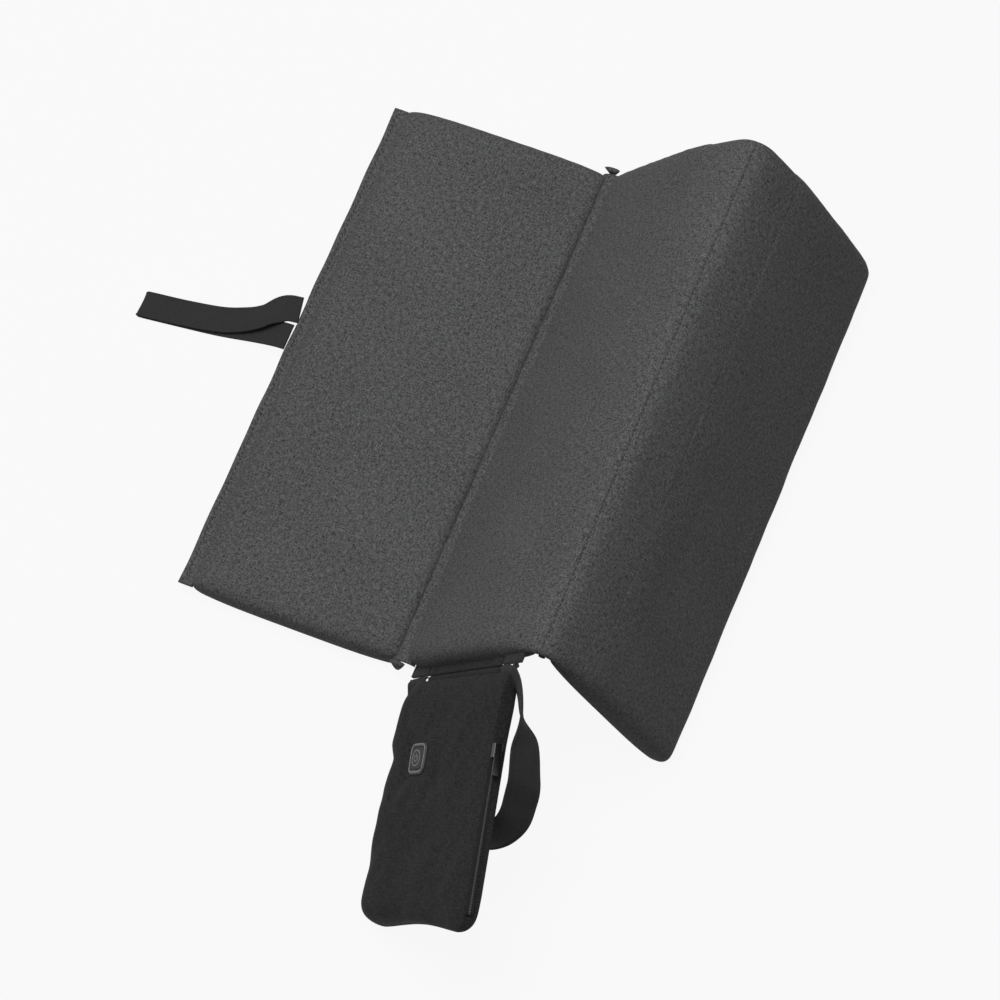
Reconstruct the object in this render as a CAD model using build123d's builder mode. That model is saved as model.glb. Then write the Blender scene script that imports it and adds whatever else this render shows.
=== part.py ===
from build123d import *
from math import asin, atan, cos, hypot, radians, sin
import os

# A heated seat cushion: three padded panels that fold like a Z, with a battery pouch, a carry
# handle and a closing loop. It stands as it is used for display: the left panel lies flat, the
# middle one rises to the ridge and the right one falls to the floor.
# Sizes are in millimetres. The origin is the centre of the left panel's underside, on the floor,
# with X across the panels, Y along the folds towards the far end, and Z up.

# Panels
panel_length = 330.0
panel_width = 135.0
pad_height = 22.0
crown_rise = 1.1
quarter_bulge = 0.293
cover_seam = 9.5
back_radius = 5.0
middle_pitch = 55.0

# Edges of the pads: the height of the side, how far in the top is full, and how round it is
valley_height = 16.5
valley_run = 6.5
valley_bulge_share = 0.293
ridge_height = 14.0
ridge_run = 36.0
ridge_bulge_share = 0.40
outer_height = 11.5
outer_run = 20.0
outer_bulge_share = 0.32

# Ends of the pads, where the covers are gathered to the seam
end_bow = 3.0
end_draw = 15.0
end_round = 2.0
end_taper = 16.0
end_fill = 6.0
corner_reach = 31.0
corner_run = 34.0
corner_cut = 26.0
seam_thickness = 1.2

# Covers and what they hold
cover_wall = 1.2
lining_gap = 0.4
film_thickness = 0.6
film_room = 0.9
film_margin = 8.0
film_end_margin = 34.0
lead_diameter = 3.2
lead_end_margin = 24.0
lead_gap = 0.3
riser_share = 0.8

# Folds
fold_gap = 0.5
stack_gap = 0.3
valley_roll_diameter = 6.2
ridge_roll_diameter = 4.2
seam_tab = 6.0
ridge_wall = 1.0
hem_width = 8.0
hem_thickness = 2.2
hem_end_margin = 1.5
hem_rounding = 0.7

# Neck, anchors and the seam line that the pouch and the handle hang from
hang_reach = 7.5
hang_roll_diameter = 2.8
hang_gap = 0.3
neck_width = 88.0
neck_thickness = 2.4
neck_length = 10.0
anchor_width = 21.0
anchor_margin = 0.6
root_overlap = 10.0

# Battery pouch
pouch_width = 105.0
pouch_length = 150.0
pouch_height = 22.0
pouch_seam = 9.0
pouch_side = 13.0
pouch_run = 15.0
pouch_bulge_share = 0.32
pouch_wall = 1.2
pouch_top_round = 3.0
pouch_top_taper = 16.0
pouch_bottom_taper = 14.0
pouch_bottom_round = 4.0
pouch_draw = 9.0
pouch_corner_run = 26.0
pouch_corner_reach = 18.0
pouch_fill = 8.0
lead_end = 3.0

# Zip in the right side of the pouch
zip_width = 5.0
zip_tape_thickness = 0.6
zip_coil_diameter = 2.0
zip_length = 96.0
zip_start = 36.0
slider_length = 8.0
slider_width = 5.4
slider_height = 3.0
slider_wall = 0.8
slider_gap = 0.3
slider_rim = 0.7
pull_length = 14.0
pull_thickness = 0.8
pull_width = 4.0

# Battery
battery_width = 66.0
battery_length = 98.0
battery_height = 11.4
battery_radius = 3.0
battery_wall = 1.4
case_bevel = 1.0
battery_back_gap = 1.0
battery_bottom_gap = 17.0
battery_lid_height = 3.2
cell_margin = 1.0
cell_height = 7.4
cell_radius = 1.6
cell_gap = 0.3
board_thickness = 1.2
board_margin = 6.0
board_height = 6.4
socket_width = 10.0
socket_height = 4.6
socket_depth = 6.0
plug_grip_width = 13.0
plug_grip_height = 7.0
plug_grip_length = 15.0
plug_gap = 0.2
plug_tongue_length = 5.0
relief_diameter = 5.0
relief_length = 3.6
plug_lead_length = 12.0

# Button, placed on the front of the pouch from its top left corner
button_across = 38.5
button_down = 43.5
frame_size = 18.6
frame_radius = 4.0
frame_height = 1.4
collar_size = 15.4
collar_radius = 2.6
collar_wall = 0.9
collar_depth = 3.4
button_size = 13.0
button_radius = 1.8
button_height = 3.9
button_rise = 0.5
button_lift = 0.02
cloth_gap = 0.2
tray_wall = 1.1
tray_depth = 6.4
switch_board_thickness = 1.0
switch_diameter = 4.0
switch_height = 1.4
lamp_size = 1.4
lamp_height = 0.6
lamp_spread_share = 0.34

# Webbing
handle_width = 20.0
handle_thickness = 1.6
handle_drop = 91.5
handle_depth = 49.0
loop_width = 17.0
loop_thickness = 1.4
loop_root_near = 2.6
loop_root_far = 20.4
loop_root_depth = 6.0
loop_start = 0.95
loop_reach = 92.0
cut = 1.0


def cross_section(form, place, skin=0.0, front_skin=0.0):
    """The full section of a stuffed form: a flat back, rounded sides and a crowned front.

    The form gives the plane (X across, Y from the back to the front), width, height, level of the
    seam, shapes of the two edges and reach of the corners. A skin draws the section in by the wall
    around it.
    """
    base, width, height, seam, edges, corner = form
    (left_height, left_run, left_bulge), (right_height, right_run, right_bulge) = edges
    left = skin
    right = width - skin
    back = skin
    front = height - skin - front_skin
    shoulder = front - crown_rise
    low = back + back_radius
    low_bulge = quarter_bulge * back_radius
    left_high = left_height - skin
    right_high = right_height - skin
    left_in = left + left_run
    right_in = right - right_run
    left_rise = (1 - left_bulge) * (shoulder - left_high)
    right_rise = (1 - right_bulge) * (shoulder - right_high)
    with BuildSketch(base.offset(place)) as section:
        with BuildLine():
            Line((left + back_radius, back), (right - back_radius, back))
            low_middle = (right - low_bulge, back + low_bulge)
            ThreePointArc((right - back_radius, back), low_middle, (right, low))
            Line((right, low), (right, right_high))
            right_middle = (right - right_bulge * right_run, right_high + right_rise)
            ThreePointArc((right, right_high), right_middle, (right_in, shoulder))
            ThreePointArc((right_in, shoulder), ((left_in + right_in) / 2, front), (left_in, shoulder))
            left_middle = (left + left_bulge * left_run, left_high + left_rise)
            ThreePointArc((left_in, shoulder), left_middle, (left, left_high))
            Line((left, left_high), (left, low))
            low_middle = (left + low_bulge, back + low_bulge)
            ThreePointArc((left, low), low_middle, (left + back_radius, back))
        make_face()
    return section.sketch


def stuffed(form, outline):
    """A stuffed form: its section run along it, drawn in at both ends and at the corners.

    Each line of the outline is a place along the form, its share of fullness there, and how far
    its sides are drawn in.
    """
    base, width, height, seam, edges, (corner_across, corner_along) = form
    start = outline[0][0]
    stop = outline[-1][0]
    upper = [(place, seam + (height - seam) * share) for place, share, draw in outline]
    lower = [(place, seam - seam * share) for place, share, draw in outline]
    left = [(place, draw) for place, share, draw in outline]
    right = [(place, width - draw) for place, share, draw in outline]
    side_plane = Plane(origin=base.origin, x_dir=base.z_dir, z_dir=base.x_dir * -1)
    plan_plane = Plane(origin=base.origin, x_dir=base.z_dir, z_dir=base.y_dir)
    with BuildPart() as whole:
        add(cross_section(form, start))
        extrude(amount=stop - start, dir=base.z_dir)
        with BuildSketch(side_plane):
            with BuildLine():
                Polyline(*upper, *lower[::-1], close=True)
            make_face()
        extrude(amount=2 * width, both=True, mode=Mode.INTERSECT)
        with BuildSketch(plan_plane):
            with BuildLine():
                Polyline(*left, *right[::-1], close=True)
            make_face()
        extrude(amount=2 * width, both=True, mode=Mode.INTERSECT)
        for end, inward in ((start, 1), (stop, -1)):
            for side, across in ((0, 1), (width, -1)):
                for full, middle in ((height, seam + seam_thickness / 2), (0, seam - seam_thickness / 2)):
                    corner = base.from_local_coords((side, middle, end))
                    along_end = base.from_local_coords((side + across * corner_across, full, end))
                    along_side = base.from_local_coords((side, full, end + inward * corner_along))
                    outward = (along_end - corner).cross(along_side - corner)
                    outward = outward * (inward * across * (-1 if full else 1))
                    split(bisect_by=Plane(origin=corner, z_dir=outward), keep=Keep.BOTTOM)
    return whole.part


def filling(form, start, stop, skin, front_skin=0.0):
    """What a stuffed form holds: its full section between two places, with the corners cut away."""
    base, width, height = form[:3]
    centre = base.from_local_coords((width / 2, height / 2, (start + stop) / 2))
    with BuildPart() as inside:
        add(cross_section(form, start, skin, front_skin))
        extrude(amount=stop - start, dir=base.z_dir)
        with BuildSketch(Plane(origin=centre, x_dir=base.x_dir, z_dir=base.y_dir)) as plan:
            Rectangle(width - 2 * skin, stop - start)
            chamfer(plan.vertices(), corner_cut)
        extrude(amount=height, both=True, mode=Mode.INTERSECT)
    return inside.part


def ribbon(stops, width, thickness):
    """A strip of webbing through stops, each a centre and the direction of the strip's width.

    Between neighbouring stops its skin is folded flat, in triangles, as a twisted strip needs.
    """
    rings = []
    for index, (centre, across) in enumerate(stops):
        before = stops[max(index - 1, 0)][0]
        after = stops[min(index + 1, len(stops) - 1)][0]
        along = (after - before).normalized()
        half_width = (across - along * across.dot(along)).normalized() * (width / 2)
        half_depth = along.cross(half_width).normalized() * (thickness / 2)
        rings.append([
            centre - half_width - half_depth,
            centre + half_width - half_depth,
            centre + half_width + half_depth,
            centre - half_width + half_depth,
        ])
    skin = [Face(Wire.make_polygon(rings[0])), Face(Wire.make_polygon(rings[-1]))]
    for here, there in zip(rings, rings[1:]):
        for corner in range(4):
            beside = (corner + 1) % 4
            skin.append(Face(Wire.make_polygon([here[corner], here[beside], there[beside]])))
            skin.append(Face(Wire.make_polygon([here[corner], there[beside], there[corner]])))
    with BuildPart() as strip:
        add(Solid(Shell(skin)).fix())
    return strip.part


def finish(part, name):
    """Names a finished piece and writes it to its own file."""
    part.label = name
    export_step(part, f"parts/{name}.step")


os.makedirs("parts", exist_ok=True)

valley_edge = (valley_height, valley_run, valley_bulge_share)
ridge_edge = (ridge_height, ridge_run, ridge_bulge_share)
outer_edge = (outer_height, outer_run, outer_bulge_share)
near = Vector(0, -1, 0)

# The outline of a pad, from its far end to its near end
pad_half = panel_length / 2
pad_end = [
    (pad_half + end_bow, 0.5, end_draw),
    (pad_half - end_round, 0.95, 0.0),
    (pad_half - end_taper, 1.0, 0.0),
]
pad_outline = [(-place, *shares) for place, *shares in pad_end] + pad_end[::-1]

# The left panel's section plane, and the valley axis at the level of the pads' tops
left_frame = Plane(origin=(-panel_width / 2, 0, 0), x_dir=(1, 0, 0), z_dir=near)
valley_axis = left_frame.from_local_coords((panel_width, pad_height + stack_gap, 0))

# The middle panel turns about the valley axis, and its underside meets the ridge axis
pitch = radians(middle_pitch)
middle_across = Vector(cos(pitch), 0, sin(pitch))
middle_up = Vector(-sin(pitch), 0, cos(pitch))
middle_frame = Plane(
    origin=valley_axis - middle_up * (pad_height + stack_gap), x_dir=middle_across, z_dir=near
)
ridge_axis = middle_frame.from_local_coords((panel_width, -stack_gap, 0))

# The right panel falls until the round of its lower outer edge meets the floor
edge_reach = panel_width - back_radius
edge_level = stack_gap + back_radius
fall = asin((ridge_axis.Z - back_radius) / hypot(edge_reach, edge_level)) + atan(edge_level / edge_reach)
right_across = Vector(cos(fall), 0, -sin(fall))
right_up = Vector(sin(fall), 0, cos(fall))
right_frame = Plane(origin=ridge_axis + right_up * stack_gap, x_dir=right_across, z_dir=near)


def pad_form(frame, start, width, edges):
    """A panel's form: its section plane, sizes and edges."""
    base = Plane(origin=frame.from_local_coords((start, 0, 0)), x_dir=frame.x_dir, z_dir=near)
    return base, width, pad_height, cover_seam, edges, (corner_run, corner_reach)


def film_band(form):
    """The heating film: a thin band that follows the crown between the foam and the cover."""
    base, width, height = form[:3]
    edges = form[4]
    left = edges[0][1] + film_margin
    right = width - edges[1][1] - film_margin
    middle = (left + right) / 2
    crown_half = (width - edges[0][1] - edges[1][1]) / 2
    edge_drop = crown_rise * ((right - left) / 2 / crown_half) ** 2
    reach = panel_length / 2 - film_end_margin
    front = height - cover_wall - lining_gap / 2
    back = front - film_thickness
    with BuildPart() as band:
        with BuildSketch(base.offset(-reach)):
            with BuildLine():
                ThreePointArc((left, back - edge_drop), (middle, back), (right, back - edge_drop))
                Line((right, back - edge_drop), (right, front - edge_drop))
                ThreePointArc((right, front - edge_drop), (middle, front), (left, front - edge_drop))
                Line((left, front - edge_drop), (left, back - edge_drop))
            make_face()
        extrude(amount=2 * reach)
    return band.part


def lead_run(frame, start, stop, diameter, riser, exit_end):
    """A heater lead: a run across the pad, a riser to the film, and a branch to the near end."""
    place = panel_length / 2 - lead_end_margin
    top = pad_height - cover_wall - lining_gap - film_room - crown_rise
    with BuildPart() as lead:
        run_plane = Plane(
            origin=frame.from_local_coords((start, cover_seam, place)),
            x_dir=near,
            z_dir=frame.x_dir,
        )
        with BuildSketch(run_plane):
            Circle(diameter / 2)
        extrude(amount=stop - start)
        riser_plane = Plane(
            origin=frame.from_local_coords((riser, cover_seam, place)),
            x_dir=frame.x_dir,
            z_dir=frame.y_dir,
        )
        with BuildSketch(riser_plane):
            Circle(riser_share * diameter / 2)
        extrude(amount=top - cover_seam)
        if exit_end:
            branch_plane = Plane(
                origin=frame.from_local_coords((panel_width / 2, cover_seam, place)),
                x_dir=frame.x_dir,
                z_dir=near,
            )
            with BuildSketch(branch_plane):
                Circle(diameter / 2)
            extrude(amount=lead_end_margin + end_bow)
    return lead.part


def make_panel(side, frame, start, width, edges, lead_span, riser, exit_end=False):
    """One panel: its two cover cloths, foam slab, heating film and lead."""
    form = pad_form(frame, start, width, edges)
    whole = stuffed(form, pad_outline)
    reach = pad_half - end_fill
    hollow = filling(form, -reach, reach, cover_wall)
    seam_plane = Plane(
        origin=frame.from_local_coords((0, cover_seam, 0)), x_dir=frame.x_dir, z_dir=frame.y_dir
    )
    lead_hole = lead_run(frame, *lead_span, lead_diameter + 2 * lead_gap, riser, exit_end)
    for name, keep in (("top_cover", Keep.TOP), ("bottom_cover", Keep.BOTTOM)):
        with BuildPart() as cover:
            add(whole)
            add(hollow, mode=Mode.SUBTRACT)
            add(lead_hole, mode=Mode.SUBTRACT)
            split(bisect_by=seam_plane, keep=keep)
        finish(cover.part, f"{side}_{name}")
    foam_reach = reach - lining_gap
    with BuildPart() as foam:
        add(filling(form, -foam_reach, foam_reach, cover_wall + lining_gap, film_room))
        add(lead_hole, mode=Mode.SUBTRACT)
    finish(foam.part, f"{side}_foam")
    finish(film_band(form), f"{side}_heating_film")
    finish(lead_run(frame, *lead_span, lead_diameter, riser, exit_end), f"{side}_heater_lead")
    return whole


riser_margin = film_margin + lead_diameter
left_span = (panel_width / 2, panel_width - fold_gap - lining_gap)
left_pad = make_panel(
    "left", left_frame, 0.0, panel_width - fold_gap, (outer_edge, valley_edge), left_span,
    panel_width / 2 + riser_margin,
)
middle_span = (fold_gap + lining_gap, panel_width - fold_gap - lining_gap)
middle_pad = make_panel(
    "middle", middle_frame, fold_gap, panel_width - 2 * fold_gap, (valley_edge, ridge_edge),
    middle_span, panel_width / 2, exit_end=True,
)
right_span = (fold_gap + lining_gap, panel_width / 2)
right_pad = make_panel(
    "right", right_frame, fold_gap, panel_width - fold_gap, (ridge_edge, outer_edge), right_span,
    panel_width / 2 - riser_margin,
)



def loop_ends(length):
    """Both ends of the closing loop's webbing, sewn into the hem."""
    root_plane = Plane(
        origin=left_frame.from_local_coords((loop_root_depth - hem_width, cover_seam, 0)),
        x_dir=(0, 1, 0),
        z_dir=(-1, 0, 0),
    )
    with BuildPart() as ends:
        with BuildSketch(root_plane):
            with Locations((loop_root_near, 0), (loop_root_far, 0)):
                Rectangle(loop_width, loop_thickness)
        extrude(amount=length)
    return ends.part


# The outer hem: the two covers' edges, folded in and stitched flat along the left panel
hem_length = panel_length - 2 * hem_end_margin
with BuildPart() as outer_hem:
    with BuildSketch(left_frame.offset(-hem_length / 2)):
        with Locations((-hem_width / 2, cover_seam)):
            Rectangle(hem_width, hem_thickness)
    extrude(amount=hem_length)
    hem_edges = outer_hem.edges().filter_by(Axis.Y).group_by(Axis.X)[0]
    fillet(hem_edges, hem_rounding)
    add(loop_ends(loop_root_depth + hem_thickness), mode=Mode.SUBTRACT)
finish(outer_hem.part, "outer_hem")
finish(loop_ends(loop_root_depth), "loop_ends")

# The valley seam: the gathered edges of both covers, rolled along the fold axis, with a small
# tab of cloth beyond the pads at each end
roll_length = panel_length + 2 * seam_tab
with BuildPart() as valley_seam:
    with BuildSketch(Plane(origin=valley_axis, x_dir=(1, 0, 0), z_dir=near).offset(-roll_length / 2)):
        Circle(valley_roll_diameter / 2)
    extrude(amount=roll_length)
finish(valley_seam.part, "valley_seam")

with BuildPart() as ridge_roll:
    with BuildSketch(Plane(origin=ridge_axis, x_dir=(1, 0, 0), z_dir=near).offset(-panel_length / 2)):
        Circle(ridge_roll_diameter / 2)
    extrude(amount=panel_length)
finish(ridge_roll.part, "ridge_seam_roll")

# The cover cloth that bends round the ridge: an arc about the ridge axis between the two pads
ridge_outer = ridge_height + stack_gap
ridge_inner = ridge_outer - ridge_wall
ridge_half = panel_length / 2 - end_round
with BuildPart() as ridge_cloth:
    ridge_plane = Plane(origin=ridge_axis, x_dir=middle_across, z_dir=near)
    turn = pitch + fall
    middle_turn = turn / 2
    with BuildSketch(ridge_plane.offset(-ridge_half)):
        with BuildLine():
            ThreePointArc(
                (0, ridge_outer),
                (ridge_outer * sin(middle_turn), ridge_outer * cos(middle_turn)),
                (ridge_outer * sin(turn), ridge_outer * cos(turn)),
            )
            Line(
                (ridge_outer * sin(turn), ridge_outer * cos(turn)),
                (ridge_inner * sin(turn), ridge_inner * cos(turn)),
            )
            ThreePointArc(
                (ridge_inner * sin(turn), ridge_inner * cos(turn)),
                (ridge_inner * sin(middle_turn), ridge_inner * cos(middle_turn)),
                (0, ridge_inner),
            )
            Line((0, ridge_inner), (0, ridge_outer))
        make_face()
    extrude(amount=2 * ridge_half)
finish(ridge_cloth.part, "ridge_cloth")

# The seam line at the near end of the middle panel, which the pouch and the handle hang from
hang_place = panel_length / 2 + hang_reach
hang_centre = middle_frame.from_local_coords((panel_width / 2, cover_seam, hang_place))


def hanging_root(centre_across, width):
    """Cloth sewn into the end seam of the middle panel, rolled at its free edge."""
    with BuildPart() as root:
        side = Plane(
            origin=middle_frame.from_local_coords((centre_across, cover_seam, hang_place)),
            x_dir=near,
            z_dir=middle_across,
        )
        with BuildSketch(side.offset(-width / 2)):
            Circle(hang_roll_diameter / 2)
            with Locations((-(hang_reach + root_overlap) / 2, 0)):
                Rectangle(hang_reach + root_overlap, neck_thickness)
        extrude(amount=width)
        add(middle_pad, mode=Mode.SUBTRACT)
    return root.part


anchor_centre = panel_width / 2 - anchor_margin - anchor_width / 2
finish(hanging_root(panel_width / 2, neck_width), "neck_root")
finish(hanging_root(panel_width / 2 - anchor_centre, anchor_width), "left_handle_anchor")
finish(hanging_root(panel_width / 2 + anchor_centre, anchor_width), "right_handle_anchor")

# The pouch hangs from the seam line, tipped until its lower left corner comes to the floor
corner_drop = pouch_width / 2 - pouch_bottom_round
low_corner = hang_centre.Z - corner_drop * sin(pitch) - (pouch_seam - back_radius) * cos(pitch)
hang_length = neck_length + pouch_length - pouch_bottom_round
pouch_swing = asin((low_corner - back_radius) / (hang_length * cos(pitch)))
pouch_down = near * cos(pouch_swing) - middle_up * sin(pouch_swing)
pouch_front = middle_across.cross(pouch_down) * -1
pouch_frame = Plane(
    origin=hang_centre - middle_across * (pouch_width / 2) - pouch_front * pouch_seam,
    x_dir=middle_across,
    z_dir=pouch_down,
)
pouch_edge = (pouch_side, pouch_run, pouch_bulge_share)

# The outline of the pouch, from its gathered top to its bottom
pouch_top = neck_length
pouch_bottom = neck_length + pouch_length
pouch_outline = [
    (pouch_top, 0.3, pouch_draw),
    (pouch_top + pouch_top_round, 0.62, pouch_top_round),
    (pouch_top + pouch_top_taper, 1.0, 0.0),
    (pouch_bottom - pouch_bottom_taper, 1.0, 0.0),
    (pouch_bottom - pouch_bottom_round, 0.92, 0.0),
    (pouch_bottom, 0.5, pouch_bottom_round),
]
pouch_edges = (pouch_edge, pouch_edge)
pouch_corner = (pouch_corner_run, pouch_corner_reach)
pouch_form = (pouch_frame, pouch_width, pouch_height, pouch_seam, pouch_edges, pouch_corner)
pouch_whole = stuffed(pouch_form, pouch_outline)
pouch_hollow = filling(pouch_form, pouch_top + pouch_top_taper, pouch_bottom - pouch_fill, pouch_wall)
pouch_seam_plane = Plane(
    origin=pouch_frame.from_local_coords((0, pouch_seam, 0)), x_dir=middle_across, z_dir=pouch_front
)
button_place = (button_across, pouch_height + button_lift, pouch_top + button_down)
button_plane = Plane(
    origin=pouch_frame.from_local_coords(button_place), x_dir=middle_across, z_dir=pouch_front
)
battery_floor = pouch_wall + battery_back_gap
socket_level = battery_wall + cell_gap + board_height / 2
lead_level = battery_floor + socket_level
lead_start = Plane(
    origin=pouch_frame.from_local_coords((pouch_width / 2, lead_level, pouch_top + lead_end)),
    x_dir=middle_across,
    z_dir=pouch_down,
)
with BuildPart() as lead_bore:
    with BuildSketch(lead_start):
        Circle(lead_diameter / 2 + lead_gap)
    extrude(amount=pouch_top_taper)

with BuildPart() as pouch_front_cloth:
    add(pouch_whole)
    add(pouch_hollow, mode=Mode.SUBTRACT)
    add(lead_bore.part, mode=Mode.SUBTRACT)
    split(bisect_by=pouch_seam_plane, keep=Keep.TOP)
    with BuildSketch(button_plane.offset(-frame_size)):
        RectangleRounded(
            collar_size + 2 * cloth_gap, collar_size + 2 * cloth_gap, collar_radius + cloth_gap
        )
    extrude(amount=2 * frame_size, mode=Mode.SUBTRACT)
finish(pouch_front_cloth.part, "pouch_front_cloth")

with BuildPart() as pouch_back_cloth:
    add(pouch_whole)
    add(pouch_hollow, mode=Mode.SUBTRACT)
    add(lead_bore.part, mode=Mode.SUBTRACT)
    split(bisect_by=pouch_seam_plane, keep=Keep.BOTTOM)
finish(pouch_back_cloth.part, "pouch_back_cloth")

# The neck: doubled cloth from the seam line into the top seam of the pouch
neck_start = hang_roll_diameter / 2 + hang_gap
with BuildPart() as pouch_neck:
    neck_plane = Plane(
        origin=pouch_frame.from_local_coords((pouch_width / 2, pouch_seam, neck_start)),
        x_dir=middle_across,
        z_dir=pouch_down,
    )
    with BuildSketch(neck_plane):
        Rectangle(neck_width, neck_thickness)
    extrude(amount=neck_length - neck_start + pouch_top_round)
    add(pouch_whole, mode=Mode.SUBTRACT)
finish(pouch_neck.part, "pouch_neck")

# The zip: its tape and coil lie on the right side of the pouch, and the slider runs along them
zip_level = (back_radius + pouch_side) / 2
zip_plane = Plane(
    origin=pouch_frame.from_local_coords((pouch_width, zip_level, pouch_top + zip_start)),
    x_dir=middle_across,
    z_dir=pouch_down,
)
zip_foot = zip_tape_thickness / 2
with BuildPart() as pouch_zip:
    with BuildSketch(zip_plane):
        with Locations((zip_foot, 0)):
            Rectangle(zip_tape_thickness, zip_width)
        with BuildSketch(Plane.XY, mode=Mode.PRIVATE) as coil:
            with Locations((zip_tape_thickness, 0)):
                Circle(zip_coil_diameter / 2)
            with Locations((zip_tape_thickness / 2 - zip_coil_diameter, 0)):
                Rectangle(2 * zip_coil_diameter, zip_width, mode=Mode.SUBTRACT)
        add(coil.sketch)
    extrude(amount=zip_length)
finish(pouch_zip.part, "pouch_zip")

slider_back = zip_tape_thickness + slider_gap
with BuildPart() as zip_slider:
    with BuildSketch(zip_plane):
        with Locations((slider_back + slider_height / 2, 0)):
            Rectangle(slider_height, slider_width)
        with Locations((zip_tape_thickness, 0)):
            Circle(zip_coil_diameter / 2 + slider_gap, mode=Mode.SUBTRACT)
    extrude(amount=slider_length)
    slider_edges = zip_slider.edges().filter_by(Axis(zip_plane.origin, pouch_down))
    fillet(slider_edges.group_by(Axis(zip_plane.origin, middle_across))[-1], slider_rim)
    with BuildSketch(zip_plane.offset(slider_length / 2)):
        with Locations((slider_back + slider_height + pull_thickness / 2, 0)):
            Rectangle(pull_thickness, pull_width)
    extrude(amount=pull_length)
finish(zip_slider.part, "zip_slider")

# The battery: a case open at the front, its lid, two cells, and the board with its socket
battery_end = pouch_bottom - battery_bottom_gap
battery_place = (pouch_width / 2, battery_floor, battery_end - battery_length / 2)
battery_plane = Plane(
    origin=pouch_frame.from_local_coords(battery_place), x_dir=middle_across, z_dir=pouch_front
)
case_height = battery_height - battery_lid_height
inner_width = battery_width - 2 * battery_wall
inner_length = battery_length - 2 * battery_wall
with BuildPart() as battery_case:
    with BuildSketch(battery_plane):
        RectangleRounded(battery_width, battery_length, battery_radius)
    extrude(amount=case_height)
    chamfer(battery_case.faces().sort_by(Axis(battery_plane.origin, pouch_front))[0].edges(), case_bevel)
    with BuildSketch(battery_plane.offset(battery_wall)):
        RectangleRounded(inner_width, inner_length, battery_radius - battery_wall)
    extrude(amount=battery_height, mode=Mode.SUBTRACT)
    socket_hole = Plane(
        origin=battery_plane.from_local_coords((0, battery_length / 2 + cut, socket_level)),
        x_dir=middle_across,
        z_dir=pouch_down,
    )
    with BuildSketch(socket_hole):
        Rectangle(socket_width + 2 * cell_gap, socket_height + 2 * cell_gap)
    extrude(amount=2 * cut + battery_wall, mode=Mode.SUBTRACT)
finish(battery_case.part, "battery_case")

with BuildPart() as battery_lid:
    with BuildSketch(battery_plane.offset(case_height)):
        RectangleRounded(battery_width, battery_length, battery_radius)
    extrude(amount=battery_lid_height)
    chamfer(battery_lid.faces().sort_by(Axis(battery_plane.origin, pouch_front))[-1].edges(), case_bevel)
    with BuildSketch(battery_plane.offset(case_height)):
        RectangleRounded(inner_width, inner_length, battery_radius - battery_wall)
    extrude(amount=battery_lid_height - battery_wall, mode=Mode.SUBTRACT)
finish(battery_lid.part, "battery_lid")

cell_width = (inner_width - 3 * cell_margin) / 2
cell_length = inner_length - socket_depth - board_thickness - 3 * cell_margin
cell_side = (cell_width + cell_margin) / 2
cell_end = cell_margin + (cell_length - inner_length) / 2
with BuildPart() as battery_cells:
    with BuildSketch(battery_plane.offset(battery_wall + cell_gap)):
        with Locations((-cell_side, cell_end), (cell_side, cell_end)):
            RectangleRounded(cell_width, cell_length, cell_radius)
    extrude(amount=cell_height)
finish(battery_cells.part, "battery_cells")

board_place = inner_length / 2 - socket_depth - board_thickness / 2
with BuildPart() as battery_board:
    with BuildSketch(battery_plane.offset(battery_wall + cell_gap)):
        with Locations((0, board_place)):
            Rectangle(inner_width - 2 * board_margin, board_thickness)
    extrude(amount=board_height)
    socket_face = Plane(
        origin=battery_plane.from_local_coords((0, board_place + board_thickness / 2, socket_level)),
        x_dir=middle_across,
        z_dir=pouch_down * -1,
    )
    with BuildSketch(socket_face):
        Rectangle(socket_width, socket_height)
        Rectangle(socket_width / 2, socket_height / 2, mode=Mode.SUBTRACT)
    extrude(amount=socket_depth)
finish(battery_board.part, "battery_board")

plug_plane = Plane(
    origin=battery_plane.from_local_coords((0, battery_length / 2 + plug_gap, socket_level)),
    x_dir=middle_across,
    z_dir=pouch_down * -1,
)
with BuildPart() as battery_plug:
    with BuildSketch(plug_plane):
        RectangleRounded(plug_grip_width, plug_grip_height, plug_grip_height / 3)
    extrude(amount=plug_grip_length)
    with BuildSketch(plug_plane):
        Rectangle(socket_width / 2 - 2 * cell_gap, socket_height / 2 - 2 * cell_gap)
    extrude(amount=-plug_tongue_length)
    with BuildSketch(plug_plane.offset(plug_grip_length)):
        Circle(relief_diameter / 2)
    with BuildSketch(plug_plane.offset(plug_grip_length + relief_length)):
        Circle(lead_diameter / 2)
    loft()
    with BuildSketch(plug_plane.offset(plug_grip_length + relief_length)):
        Circle(lead_diameter / 2)
    extrude(amount=plug_lead_length)
finish(battery_plug.part, "battery_plug")

# The button: a frame that sits on the cloth, whose collar passes through it into the switch tray
with BuildPart() as button_frame:
    with BuildSketch(button_plane):
        RectangleRounded(frame_size, frame_size, frame_radius)
    extrude(amount=frame_height)
    frame_rim = button_frame.faces().sort_by(Axis(button_plane.origin, pouch_front))[-1].edges()
    chamfer(frame_rim, frame_height / 2)
    with BuildSketch(button_plane):
        RectangleRounded(collar_size, collar_size, collar_radius)
    extrude(amount=-collar_depth)
    hole_size = collar_size - 2 * collar_wall
    with BuildSketch(button_plane.offset(-frame_size)):
        RectangleRounded(hole_size, hole_size, collar_radius - collar_wall)
    extrude(amount=2 * frame_size, mode=Mode.SUBTRACT)
finish(button_frame.part, "button_frame")

button_top = frame_height + button_rise
with BuildPart() as power_button:
    with BuildSketch(button_plane.offset(button_top - button_height)):
        RectangleRounded(button_size, button_size, button_radius)
    extrude(amount=button_height)
    button_rim = power_button.faces().sort_by(Axis(button_plane.origin, pouch_front))[-1].edges()
    chamfer(button_rim, button_rise)
finish(power_button.part, "power_button")

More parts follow.
